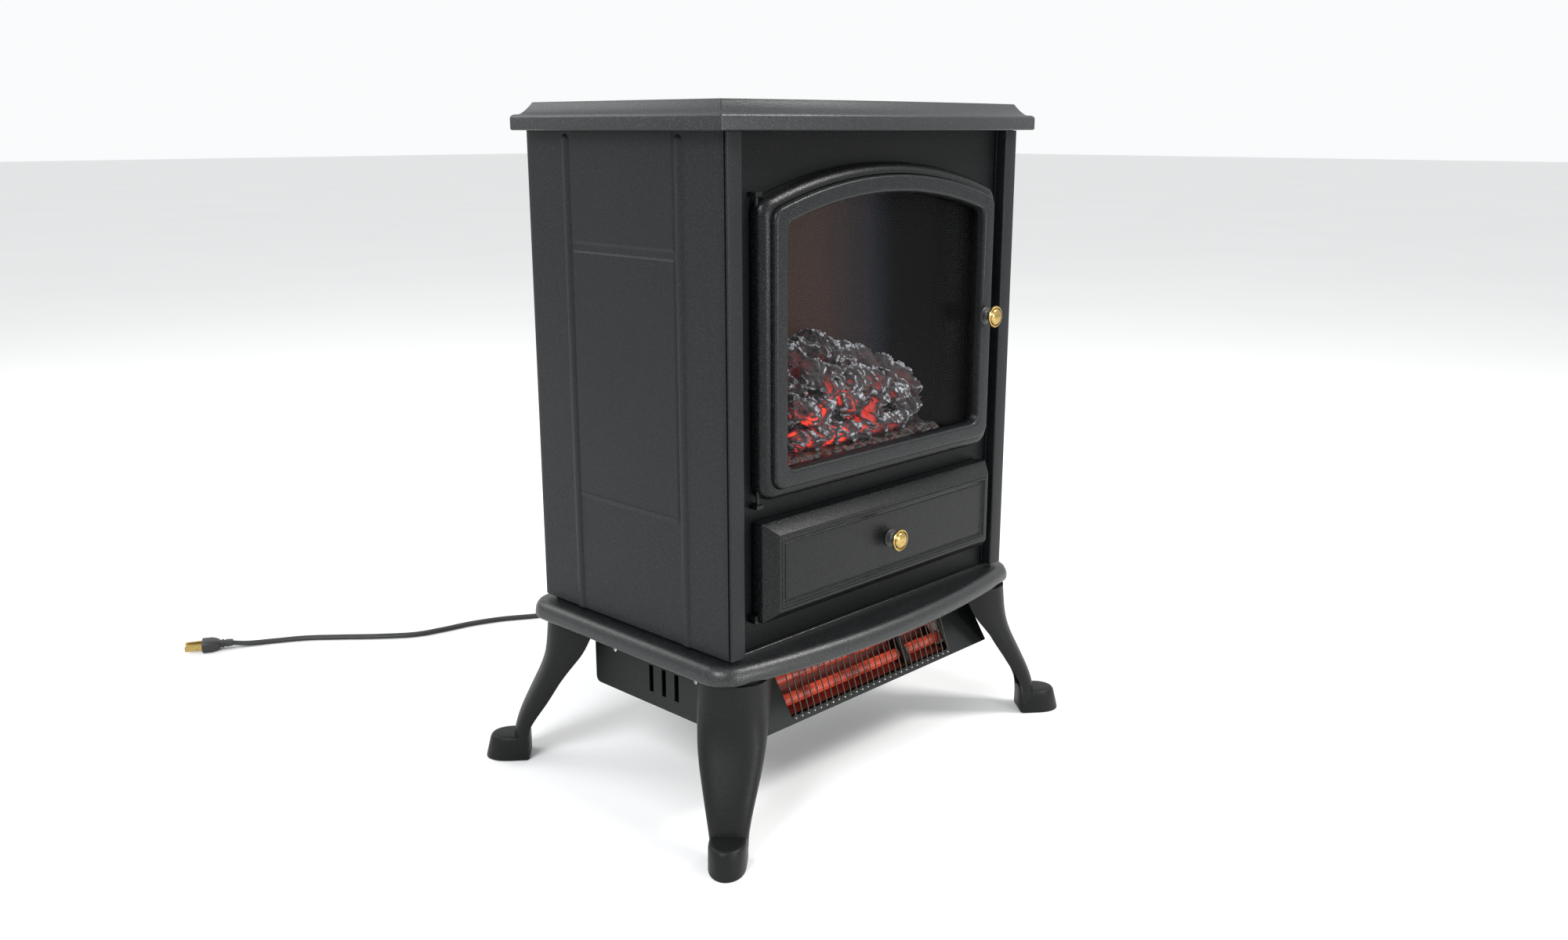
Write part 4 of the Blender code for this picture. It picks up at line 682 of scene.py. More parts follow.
def path_rings(path: Array, angle: Array, radius: Array) -> Array:
    """Return round rings on a path, each square to it.

    Args:
        path: (k, 3) points.
        angle: (n,) angles round the ring.
        radius: (k,) radii.

    Returns:
        (k, n, 3) points.
    """
    along = headings(path)
    side = np.cross(np.array([0.0, 0, 1]), along)
    side /= np.linalg.norm(side, axis=1, keepdims=True)
    above = np.cross(along, side)
    turn = angle[None, :, None]
    ring = np.cos(turn) * side[:, None] + np.sin(turn) * above[:, None]
    return path[:, None] + radius[:, None, None] * ring


def smooth_path(knots: list | tuple, step: float) -> Array:
    """Return points a step apart on a Catmull-Rom curve, a cubic between each two knots."""
    p = np.array(knots, float)
    p = np.concatenate([2 * p[:1] - p[1:2], p, 2 * p[-1:] - p[-2:-1]])
    t = np.linspace(0, 1, 24, endpoint=False)[None, :, None]
    a, b, c, d = (p[i:len(p) - 3 + i, None] for i in range(4))
    curve = 0.5 * (2 * b + (c - a) * t + (2 * a - 5 * b + 4 * c - d) * t ** 2
                   + (3 * b - a - 3 * c + d) * t ** 3)
    curve = np.concatenate([curve.reshape(-1, 3), p[-2:-1]])
    return even_path(curve, step)


def even_path(curve: Array, step: float) -> Array:
    """Return points a step apart along a dense curve, by its running length."""
    run = np.concatenate([[0], np.cumsum(np.linalg.norm(np.diff(curve, axis=0), axis=1))])
    wanted = np.linspace(0, run[-1], max(2, round(run[-1] / step)) + 1)
    return np.column_stack([np.interp(wanted, run, curve[:, i]) for i in range(3)])


def screw(sheaf: Sheaf, place: tuple, direction: tuple, radius: float = 0.0030) -> None:
    """Add a pan head with a cross cut: a dome whose height drops along two crossed slots.

    Args:
        sheaf: what it is added to.
        place: the middle of its foot.
        direction: the way it faces.
        radius: of the head.
    """
    side, other, along = axes_along(np.array(direction, float))
    reach = np.linspace(0, 1, 13)[:, None]
    angle = np.linspace(0, 2 * np.pi, 32, endpoint=False)[None]
    x, y = reach * np.cos(angle), reach * np.sin(angle)
    slot = (np.minimum(abs(x), abs(y)) < 0.15) & (reach < 0.62)
    height = radius * (0.62 * np.sqrt(np.clip(1 - 0.80 * reach ** 2, 0, 1)) - 0.34 * slot)
    skin = (np.array(place) + radius * (x[..., None] * side + y[..., None] * other)
            + height[..., None] * along)
    skin[0] = skin[0].mean(0)
    foot = skin[-1:] - (height[-1, 0] + 0.0002) * along
    pole = np.repeat(foot.mean(1, keepdims=True), angle.size, 1)
    sheaf.ball_end(np.concatenate([skin, foot, pole]))


# ---------------------------------------------------------------- what assemblies share
@dataclass
class Assembly:
    """A group of pieces that share the finishes and, mostly, a body."""

    finishes: Finishes
    body = Body.STOVE

    def make(self, sheaf: Sheaf, name: str, finish: str, slot: str, *nodes: str,
             sharp: float = 32.0, body: Body | None = None) -> bpy.types.Object:
        """Build a piece of this assembly.

        Args:
            sheaf: its surfaces.
            name: the object's name.
            finish: the short name of its finish.
            slot: not used; only passed on.
            nodes: the nodes that it replaces.
            sharp: edges over this many degrees stay sharp.
            body: the body it rides on, when that isn't the assembly's.

        Returns:
            The object.
        """
        return sheaf.build(name, self.finishes[finish], body or self.body, slot, *nodes,
                           sharp=sharp)

    def dress(self, **finishes: str) -> None:
        """Give nodes that stay in view their finishes, by node name and short name."""
        for node, finish in finishes.items():
            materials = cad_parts[node].data.materials
            materials.clear()
            materials.append(self.finishes[finish])

    def knob(self, name: str, foot: tuple) -> None:
        """Turn a black flared stem and a domed brass disc with a groove, facing the front.

        Args:
            name: the disc's node, and the first words of the stem's.
            foot: the centre of the stem's flare.
        """
        front = (0, -1, 0)
        turn = np.linspace(0, np.pi / 2, 7)
        flare = [(0.0012, 0.0003), (0.0066, 0.0003), (0.0074, 0.0006), (0.0075, 0.0013),
                 (0.0068, 0.0019), (0.0046, 0.0024), (0.0036, 0.0032), (0.0031, 0.0046),
                 (0.0030, 0.0062), (0.0036, 0.0076), (0.0042, 0.0084), (0.0010, 0.0085)]
        stem = Sheaf().turned(flare, foot, front)
        self.make(stem, name + "_neck", "plastic", "black plastic", name + "_stem")
        radius, crown = 0.0094, 0.0140
        rim = zip(radius - 0.0009 * (1 - np.sin(turn)), 0.0098 + 0.0010 * (1 - np.cos(turn)))
        disc = [(0.0010, 0.0088), (0.0060, 0.0088), (0.0082, 0.0091), *rim, (0.0090, 0.0117),
                (0.0085, 0.0120), (0.0079, 0.0119), (0.0077, 0.0104), (0.0070, 0.0104),
                (0.0067, 0.0121), (0.0062, 0.0127), (0.0048, 0.0134), (0.0030, 0.0138),
                (0.0014, crown - 0.0001), (0.0004, crown)]
        self.make(Sheaf().turned(disc, foot, front, 64), name + "_disc", "brass", "brass", name)


# ---------------------------------------------------------------- the body
@dataclass
class Casing(Assembly):
    """Top, base, posts, side sheets, fascia and back."""

    top_low: float = BODY_HIGH + 0.0003
    top_half: float = 0.1873
    top_front: float = FRONT - 0.0089
    top_rear: float = REAR + 0.0030
    top_bow: float = 0.0150
    base_half: float = 0.1816
    base_top: float = 0.1456
    base_bow: float = 0.0225
    base_corner: float = 0.0160

    def build(self) -> None:
        """Build every piece of the casing."""
        self.top()
        self.base()
        for name, side in SIDES:
            self.post(name, side)
            self.side_sheet(name, side)
        self.fascia()
        self.back()

    def top(self) -> None:
        """Nest bowed outlines: square rim, rounded shoulder, ledge, hollow cove and flat top."""
        turn = np.linspace(0, np.pi / 2, 7)
        cove = np.linspace(0, 1, 10)
        shoulder = zip(0.0030 * (1 - np.cos(turn)), 0.0092 + 0.0030 * np.sin(turn))
        hollow = zip(0.0050 + 0.0080 * cove, 0.0123 + 0.0088 * cove ** 1.5)
        steps = [(0.020, 0.0004), (0.0010, 0.0), (0.0, 0.0008), *shoulder, (0.0048, 0.01225),
                 *hollow, (0.0133, 0.02145), (0.0138, 0.0216), (0.0200, 0.0216)]
        rings = [lift(bowed(self.top_half - inset, self.top_front + inset, self.top_rear - inset,
                            self.top_bow, 0.0016 if inset < 0.004 else 0.0006), self.top_low + rise)
                 for inset, rise in steps]
        self.make(Sheaf().loft(np.array(rings)), "stove_top", "top", "black powder coat",
                  "top_plate", sharp=28)

    def base(self) -> None:
        """Nest bowed outlines: rolled lower edge, sloped shoulder, flat, and the raised land."""
        turn = np.linspace(-np.pi / 2, np.pi / 2, 21)
        up = turn > 0
        roll = np.where(up, -0.0006 + 0.0082 * np.cos(turn) ** 0.90,
                        0.0046 + 0.0030 * np.cos(turn))
        height = 0.1346 + np.where(up, 0.0110, 0.0040) * np.sin(turn)
        steps = [(-0.0035, height[0]), *zip(roll, height), (-0.0030, self.base_top)]
        rings = [lift(bowed(self.base_half + out, FRONT + 0.0030 - out, REAR + 0.0045 + out,
                            self.base_bow, self.base_corner + out), z) for out, z in steps]
        sheaf = Sheaf().loft(np.array(rings))
        sheaf.block((-HALF + 0.006, FRONT + 0.006, self.base_top - 0.002),
                    (HALF - 0.006, REAR - 0.006, BODY_LOW - 0.0004))
        self.make(sheaf, "stove_base", "base", "black cast metal", "base_plate", sharp=40)

    def post(self, name: str, side: int) -> None:
        """A folded square post: an outline with eased corners and a step for the side sheet."""
        outer, lapped, inner, rear = HALF - 0.0003, HALF - LAP, POST_INNER, FRONT + POST_DEPTH
        corners = [(inner, FRONT), (outer, FRONT), (outer, FRONT + 0.0014),
                   (lapped, FRONT + 0.0019), (lapped, rear), (inner, rear)]
        outline = rounded(corners, [0.0016, 0.0011, 0.0003, 0.0002, 0.001, 0.001], 4) * (side, 1)
        heights = (BODY_LOW, BODY_LOW + 0.0003, BODY_HIGH - 0.0003, BODY_HIGH)
        sheaf = Sheaf().loft(np.array([lift(outline, z) for z in heights]))
        self.make(sheaf, name + "_post", "side", "black powder coat", name + "_corner_post")

    def side_sheet(self, name: str, side: int) -> None:
        """A folded sheet with pressed ribs: its outline climbs in Z, with the ribs added to x.

        The rows and columns of points are closer together beside each rib and rail.
        """
        front, rear, wall = FRONT + 0.0033, REAR, 0.0012
        by_rib = [FRONT + centre + np.linspace(-7, 7, 29) * MM for centre in RIBS]
        by_rail = [centre + np.linspace(-8, 8, 27) * MM for centre in (0.450, 0.2495, 0.5335)]
        y = np.unique(np.concatenate([np.linspace(front, rear, 90), *by_rib]))
        z = np.unique(np.concatenate([np.linspace(BODY_LOW, BODY_HIGH, 70), *by_rail]))
        height = self.ribs(y[None] - FRONT, z[:, None])
        ease = np.minimum(1, np.minimum(y - front, rear - y)[None] / 0.0008)
        x = HALF - 0.0004 * (1 - np.clip(ease, 0, 1)) ** 2 + height
        outer = np.stack(np.broadcast_arrays(x, y, z[:, None]), -1)
        fold = np.array([(HALF - 0.012, rear), (HALF - 0.012, rear - wall),
                         (HALF - wall, rear - wall), (HALF - wall, front)])
        inner = np.stack([np.column_stack([fold, np.full(4, level)]) for level in z])
        rings = np.concatenate([outer, inner], 1) * (side, 1, 1)
        self.make(Sheaf().loft(rings), name + "_side", "side", "black powder coat",
                  name + "_side_panel", sharp=60)

    @staticmethod
    def ribs(y: Array, z: Array) -> Array:
        """Return the height of the pressing: round-topped upright ribs, rails and proud fields.

        Args:
            y: distance behind the front of the posts.
            z: height over the floor.

        Returns:
            The height at each y and z.
        """
        def swell(distance: Array, half: float) -> Array:
            """Return a half-round section of unit height."""
            return np.sqrt(np.clip(1 - (distance / half) ** 2, 0, 1))

        def step(value: Array, width: float) -> Array:
            """Return a smooth rise from 0 to 1 about zero."""
            return 1 / (1 + np.exp(-np.clip(value / width, -30, 30)))

        rib_top, rib_half, rib_height, field_height = 0.5315, 0.0042, 0.0014, 0.0009
        over = np.clip(z - rib_top, 0, 1)
        total = 0
        for centre in RIBS:
            total = np.maximum(total, swell(np.hypot(y - centre, over), rib_half) * rib_height)
        between = step(y - 0.0555, 0.0003) * step(0.1755 - y, 0.0003)
        for low, high in ((0.4535, 0.5400), (0.2495, 0.4465)):
            proud = step(z - low, 0.0004) * step(high - z, 0.0004) * between
            total = np.maximum(total, proud * field_height)
        return total + between * swell(z - 0.2488, 0.0022) * 0.0008

    def fascia(self) -> None:
        """Carry on with the cut front sheet, and add its turned edges beside the posts."""
        # the front coat on the fascia and its seams is darker by painted shade
        self.dress(fascia_panel="front")
        for name, side in SIDES:
            inner, outer = sorted((side * (POST_INNER - 0.0025), side * (POST_INNER - 0.0003)))
            seam = Sheaf().block((inner, FASCIA - 0.0016, BODY_LOW + 0.0004),
                                 (outer, FASCIA - 0.0001, BODY_HIGH - 0.0004), 0.0006)
            self.make(seam, name + "_fascia_seam", "front", "black powder coat")

    def back(self) -> None:
        """Add hooded louvres and screws to the vented back sheet.

        A hood is a half round whose section shrinks towards both of its ends.
        """
        self.dress(back_panel="side")
        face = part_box("back_panel")[1].y
        foot = face - 0.0004
        angle = np.linspace(0, np.pi, 9)
        hood = np.column_stack([0.0016 * np.sin(angle), -0.0018 * np.cos(angle)])
        ends = np.linspace(-1, 1, 9)
        shrinks = np.sqrt(np.maximum(0.04, 1 - ends ** 6))
        louvres, screws = Sheaf(), Sheaf()
        for column in (-0.060, 0.060):
            for z in BODY_HIGH - 0.0378 - 0.0120 * np.arange(6):
                louvres.loft(np.array([across(hood * shrink + (foot, z), column + 0.0315 * end)
                                       for end, shrink in zip(ends, shrinks)]))
        self.make(louvres, "back_louvres", "side", "black powder coat")
        for x in (-0.154, 0.154):
            for z in (0.165, 0.290, 0.410, 0.525):
                screw(screws, (x, face, z), (0, 1, 0))
        self.make(screws, "back_screws", "plastic", "black powder coat")


@dataclass
class Legs(Assembly):
    """Four cast legs: an open channel that curves out to a rounded toe.

    Each table has pairs in millimetres: a height, and the channel's nose reach, width or depth.
    """

    corner: tuple = (0.1760, 0.1140)
    tip: tuple = (0.2210, 0.1530)
    high: float = 0.1300
    wall: float = 0.0032
    spread: tuple = ((130, 0), (107, 2), (95, 4.2), (82, 9), (69, 15.5), (55, 22.5), (42, 28.5),
                     (30, 32.5), (21, 34), (0, 34))
    width: tuple = ((130, 58), (100, 56.5), (80, 53.5), (68, 50), (56, 45), (45, 40), (36, 36),
                    (28, 33), (18, 30), (0, 29))
    depth: tuple = ((130, 42), (118, 38.5), (104, 33), (92, 26), (80, 21.5), (55, 19),
                    (40, 15.5), (30, 13), (0, 12.5))
    toe: tuple = ((0, 1.4), (0.5, 0.5), (1.6, 0), (18.4, 0), (20.2, 0.35), (21.4, 1.1),
                  (22.0, 2.4), (22.3, 5.0))

    @staticmethod
    def curve(table: tuple, z: Array) -> Array:
        """Return millimetre table values at heights, eased by a running mean, in metres."""
        levels, values = np.array(table[::-1], float).T
        offsets = np.linspace(-6, 6, 13)[:, None]
        wanted = np.clip(z[None] / MM + offsets, 0, levels[-1])
        return np.interp(wanted, levels, values).mean(0) * MM

    def build(self) -> None:
        """Build the four legs."""
        for name, sx, sy in (("leg_front_left", -1, -1), ("leg_front_right", 1, -1),
                             ("leg_rear_left", -1, 1), ("leg_rear_right", 1, 1)):
            self.leg(name, np.array([sx, sy]))

    def leg(self, name: str, side: Array) -> None:
        """Loft the channel by height and the toe as a stack of long rounded outlines.

        A channel's section is half of a squared-off ellipse, once for each face of the wall.

        Args:
            name: the node that it stands for.
            side: the signs of x and y.
        """
        top, tip = side * self.corner, side * self.tip
        reach = np.linalg.norm(tip - top)
        out = (tip - top) / reach
        beside = np.array([-out[1], out[0]])

        def placed(forward: Array, aside: Array) -> Array:
            """Return (x, y) at distances out of the corner and across."""
            return top + forward[..., None] * out + aside[..., None] * beside

        z = np.linspace(0.0100, self.high, 44)
        nose, width, depth = (self.curve(table, z)[:, None]
                              for table in (self.spread, self.width, self.depth))
        angle = np.linspace(0, np.pi, 33)
        swing = np.sign(np.cos(angle)) * abs(np.cos(angle)) ** 0.78
        bulge = np.sin(angle) ** 0.60
        walls = []
        for shrink in (0.0, self.wall):
            flat = placed(nose - depth + (depth - shrink) * bulge, (width / 2 - shrink) * swing)
            level = np.broadcast_to(z[:, None, None], (*flat.shape[:2], 1))
            walls.append(np.concatenate([flat, level], -1))
        sheaf = Sheaf().loft(np.concatenate([walls[0], walls[1][:, ::-1]], 1))
        turn = np.linspace(-np.pi / 2, np.pi / 2, 25)
        rings = []
        for level, shrink in self.toe:
            far = reach - 0.0055 * level / 22 - shrink * MM
            heel, wide = 0.0205 + shrink * MM, 0.0146 - shrink * MM
            middle = heel + (far - heel) * 0.44
            forward = [*(middle + (far - middle) * np.cos(turn) ** 0.9), heel + 0.002, heel, heel,
                       heel + 0.002]
            aside = wide * np.array([*np.sin(turn), 1, 0.82, -0.82, -1])
            rings.append(lift(placed(np.array(forward), aside), level * MM))
        sheaf.loft(np.array(rings))
        self.make(sheaf, name + "_cast", "leg", "black cast metal", name, sharp=50)


# ---------------------------------------------------------------- the door
@dataclass
class Door(Assembly):
    """The arched door: rolled outer moulding, raised inner frame, pane, hinges and catch."""

    body = Body.DOOR
    half: float = 0.1425
    low: float = 0.2675
    apex: float = 0.5150
    arc: float = 0.4150
    knob_x: float = 0.1235
    knob_z: float = 0.3840
    insets: tuple = (-0.002, 0.0088, 0.0235, 0.030)
    corners: tuple = (0.0145, 0.0100, 0.0080, 0.0060)
    shoulders: tuple = (0.0140, 0.0105, 0.0070, 0.0050)

    def outline(self, inset: float) -> Array:
        """Return the arched outline moved in by an inset.

        The sides and sill are straight, the head is an arc of the arc radius less the inset, and
        the four corners are rounded, less so the further in they are.
        """
        half, low, radius = self.half - inset, self.low + inset, self.arc - inset
        centre = self.apex - self.arc
        reach = math.asin(half / radius)
        angle = np.linspace(reach, -reach, 41)
        head = np.column_stack([radius * np.sin(angle), centre + radius * np.cos(angle)])
        corner = np.interp(inset, self.insets, self.corners)
        shoulder = np.interp(inset, self.insets, self.shoulders)
        radii = [corner, corner, shoulder] + [0] * (len(angle) - 2) + [shoulder]
        return rounded(np.concatenate([[(-half, low), (half, low)], head]), radii, 8)

    def nest(self, profile: Array) -> Array:
        """Return a ring of the outline for each (inset, depth) pair of a profile."""
        return np.array([upright(self.outline(inset), FRONT + depth) for inset, depth in profile])

    def build(self) -> None:
        """Carry two closed profiles round the outline, and add the pane, knob and fittings."""
        back = 0.0090
        moulding = rounded(
            [(0.0, back), (0.0, -0.0042), (0.0086, -0.0042), (0.0090, -0.0020),
             (0.0231, -0.0020), (0.0231, 0.0030), (0.0172, 0.0030), (0.0172, back)],
            [0.0008, 0.0081, 0.0004, 0.0005, 0.0008, 0.0004, 0.0004, 0.0006], 7)
        raised = rounded([(0.0090, -0.0024), (0.0092, -0.0087), (0.0222, -0.0087),
                          (0.0236, -0.0023)], [0.0003, 0.0026, 0.0032, 0.0004], 7)
        for name, profile, finish, node in (("door_moulding", moulding, "cast", "door_frame"),
                                            ("door_inner_frame", raised, "trim", "door_trim")):
            sheaf = Sheaf().loft(self.nest(profile), ends=False)
            self.make(sheaf, name, finish, "black cast metal", node, sharp=40)
        pane = Sheaf().loft(self.nest([(0.0176, 0.0062), (0.0176, 0.0034)]))
        self.make(pane, "door_window", "pane", "door glass", "door_glass")
        self.knob("door_knob", (self.knob_x, FRONT - 0.0087, self.knob_z))
        self.dress(door_hinge_upper="cast", door_hinge_lower="cast", door_strike="bright",
                   door_catch="plastic")


# ---------------------------------------------------------------- the flap and its controls
@dataclass
class Flap(Assembly):
    """The drop-down flap: bevelled edge, ogee bead and flat panel."""

    body = Body.FLAP
    half: float = 0.1420
    low: float = 0.1720
    high: float = 0.2515

    def ring(self, inset: float, depth: float, corner: float) -> Array:
        """Return a rectangle moved in by an inset at a depth behind the post plane."""
        reach = self.half - inset
        outline = rectangle(-reach, reach, self.low + inset, self.high - inset)
        return upright(rounded(outline, corner, 4), FRONT + depth)

    def build(self) -> None:
        """Nest rectangles from the hollow back round the edge to the middle of the face."""
        turn = np.linspace(0, np.pi, 9)
        bead = zip(0.0126 - 0.0012 * np.cos(turn), -0.0114 - 0.0008 * np.sin(turn))
        steps = [(0.0120, -0.0050), (0.0024, 0.0010), (0.0022, 0.0084), (0.0004, 0.0086),
                 (0.0, 0.0080), (0.0, -0.0016), (0.0003, -0.0022), (0.0084, -0.0113),
                 (0.0088, -0.0117), (0.0094, -0.0118), (0.0112, -0.0118), *bead,
                 (0.0142, -0.0108), (0.0150, -0.0100), (0.0162, -0.0097), (0.0166, -0.0095),
                 (0.0170, -0.0095), (0.0174, -0.0100), (0.0190, -0.0101), (0.0240, -0.0101)]
        rings = np.array([self.ring(inset, depth, 0.0010) for inset, depth in steps])
        self.make(Sheaf().loft(rings), "flap_front", "cast", "black cast metal", "control_flap",
                  sharp=30)
        self.knob("flap_knob", (0.0, FRONT - 0.0096, (self.low + self.high) / 2))
        self.dress(flap_hinge_left="cast", flap_hinge_right="cast")


@dataclass
class Controls(Assembly):
    """The switches and the thermostat dial behind the flap."""

    face: float = FRONT + 0.0240
    middle: float = 0.2120
    dial_x: float = 0.0600

    def build(self) -> None:
        """Dress the panel, the switches and the thermostat, and make the dial."""
        # the control panel takes the front coat, darkened by painted shade
        self.dress(control_panel="front", flame_switch_housing="plastic",
                   heat_switch_housing="plastic", flame_switch_rocker="key",
                   heat_switch_rocker="key", thermostat_body="zinc")
        self.dial()
        self.marks()

    def spot(self, x: float, y: float, z: float) -> tuple:
        """Return a place measured from the dial's centre on the panel's face."""
        return self.dial_x + x, self.face + y, self.middle + z

    def dial(self) -> None:
        """A fluted dial: the rim radius ripples with the angle, with a raised pointer bar."""
        angle = np.linspace(0, 2 * np.pi, 144, endpoint=False)
        flute = 0.00035 * np.cos(24 * angle)
        rings = []
        for radius, height, share in ((0.0120, 0.0, 0), (0.0148, 0.0, 0), (0.0150, 0.0006, 0),
                                      (0.0146, 0.0016, 1), (0.0138, 0.0092, 1),
                                      (0.0134, 0.0104, 0.6), (0.0124, 0.0110, 0),
                                      (0.0040, 0.0110, 0)):
            reach = radius + share * (flute - 0.0004)
            ring = np.column_stack([reach * np.cos(angle), np.full(len(angle), -0.0008 - height),
                                    reach * np.sin(angle)])
            rings.append(ring + self.spot(0, 0, 0))
        sheaf = Sheaf().loft(np.array(rings))
        sheaf.block(self.spot(-0.0015, -0.0138, -0.0100), self.spot(0.0015, -0.0112, 0.0115),
                    0.0005)
        sheaf.rod(self.spot(0, -0.001, 0), self.spot(0, 0.0058, 0), 0.0030)
        self.make(sheaf, "dial", "plastic", "black plastic", "thermostat_dial",
                  body=Body.THERMOSTAT)
        tip = Sheaf().block(self.spot(-0.0004, -0.0140, 0.0050),
                            self.spot(0.0004, -0.0137, 0.0112), 0.0001)
        self.make(tip, "dial_pointer", "mark", "black plastic", body=Body.THERMOSTAT)

    def marks(self) -> None:
        """Printed ticks round the dial."""
        ticks = Sheaf()
        for turn in np.radians(np.linspace(-45, 225, 11)):
            start, end = (self.spot(reach * math.cos(turn), -0.00015, reach * math.sin(turn))
                          for reach in (0.0168, 0.0192))
            ticks.rod(start, end, 0.00028, 8)
        self.make(ticks, "dial_scale", "mark", "black powder coat")


# ---------------------------------------------------------------- the fire
@dataclass
class Fire(Assembly):
    """The logs, the ember bed, and the lamp and spindle behind the screen.

    A bar of the logs has two ends (x, y, z), a radius, and how far its middle is bent up.
    """

    rear: float = -0.0722
    front: float = -0.0862
    floor: float = 0.2790

    def build(self) -> None:
        """Dress the firebox plates, and model the logs, the embers and the works."""
        self.dress(firebox_floor="dark", firebox_ceiling="dark", firebox_left_cheek="dark",
                   firebox_right_cheek="dark", flame_screen="smoke", flicker_spindle="bright",
                   flicker_motor="zinc", spindle_bearing="plastic", left_lamp_holder="plastic",
                   right_lamp_holder="plastic", left_lamp="bulb", right_lamp="bulb")
        self.logs()
        self.embers()

    @staticmethod
    def roughness(point: Array) -> Array:
        """Return rugged values from 0 to 1: folded sine waves of four sizes, warped by each other.

        Args:
            point: (..., 3) places.

        Returns:
            (...) values.
        """
        x, y, z = (point[..., i] for i in range(3))
        warp = 0.004 * np.sin(210 * x + 170 * z + 1.3) + 0.003 * np.sin(330 * z - 260 * y)
        total, weight = 0.0, 0.0
        for scale, share, tilt in ((150, 0.9, 0.3), (320, 1.0, 1.1), (640, 0.60, 2.3),
                                   (1250, 0.28, 0.7)):
            a = scale * (x + warp) + tilt * scale * 0.4 * y
            b = scale * (z - warp) + 1.7 * tilt
            c = scale * (y + 0.6 * warp) + tilt
            value = (np.sin(a + 1.2 * np.sin(b)) * np.cos(b * 0.8 + np.sin(c))
                     + 0.4 * np.sin(c + a * 0.5))
            total = total + share * (1 - abs(value))
            weight += share
        return np.clip(total / weight, 0, 1)

    def logs(self) -> None:
        """Logs as bars along a bent line, swollen by the rugged value along their skin."""
        rear, front = self.rear, self.front
        bars = [((-0.086, rear, 0.3060), (0.092, rear, 0.3010), 0.0104, 0.002),
                ((-0.085, front, 0.3010), (0.058, front, 0.2985), 0.0094, -0.001),
                ((-0.080, rear, 0.3600), (-0.022, rear, 0.3700), 0.0140, 0.002),
                ((-0.087, rear, 0.3420), (-0.006, rear, 0.3500), 0.0132, 0.002),
                ((-0.036, rear, 0.3640), (0.028, rear, 0.3460), 0.0128, 0.000),
                ((0.014, rear, 0.3480), (0.088, rear, 0.3150), 0.0128, 0.004),
                ((-0.086, rear, 0.3240), (0.060, rear, 0.3250), 0.0122, 0.002),
                ((-0.072, front, 0.3600), (-0.002, front, 0.3140), 0.0106, 0.004),
                ((-0.022, front, 0.3440), (0.058, front, 0.3180), 0.0102, 0.004),
                ((-0.054, front, 0.3030), (-0.036, front, 0.3580), 0.0098, 0.002),
                ((0.004, front, 0.2990), (0.040, front, 0.3400), 0.0096, 0.002),
                ((0.046, front, 0.2990), (0.090, rear, 0.3080), 0.0098, 0.002),
                ((-0.087, front, 0.3290), (-0.052, front, 0.3150), 0.0098, 0.002)]
        sheaf = Sheaf()
        angle = np.linspace(0, 2 * np.pi, 72, endpoint=False)
        share = np.linspace(0, 1, 64)
        taper = np.clip(np.minimum(share, 1 - share) / 0.07, 0, 1) ** 0.42
        for start, end, radius, bend in bars:
            start, end = np.array(start), np.array(end)
            path = start + share[:, None] * (end - start)
            path[:, 2] += bend * np.sin(np.pi * share)
            rings = path_rings(path, angle, radius * 0.92 * taper + 1e-5)
            rugged = self.roughness(rings)
            length = np.linalg.norm(end - start)
            knots = 0.10 * np.sin(share * length * 230 + radius * 4000)[:, None]
            swell = 1 + 1.05 * (rugged - 0.50) + knots
            rings = path[:, None] + (rings - path[:, None]) * swell[..., None]
            rings[..., 1] = np.clip(rings[..., 1], -0.0960, -0.0634)
            rings[0], rings[-1] = path[0], path[-1]
            sheaf.ball_end(rings, rugged + 0.001)
        self.make(sheaf, "fire_logs", "bark", "log resin", "log_set", sharp=180)

    def embers(self) -> None:
        """A bed whose top is a rugged height over x and y."""
        low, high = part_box("ember_bed")
        x, y = np.linspace(low.x, high.x, 150), np.linspace(low.y, high.y, 30)
        base = np.interp(y, [low.y, low.y + 0.006, high.y], [0.2850, 0.2885, 0.2935])
        grid = np.stack(np.meshgrid(x, y, 0.29), -1)[:, :, 0]
        top, foot = grid.copy(), grid.copy()
        top[..., 2] = base[:, None] + 0.0050 * (self.roughness(grid * 1.4) - 0.4)
        foot[..., 2] = self.floor + 0.0004
        sheaf = Sheaf().loft(np.concatenate([top, foot[:, ::-1]], 1))
        self.make(sheaf, "fire_embers", "ember", "ember resin", "ember_bed", sharp=60)


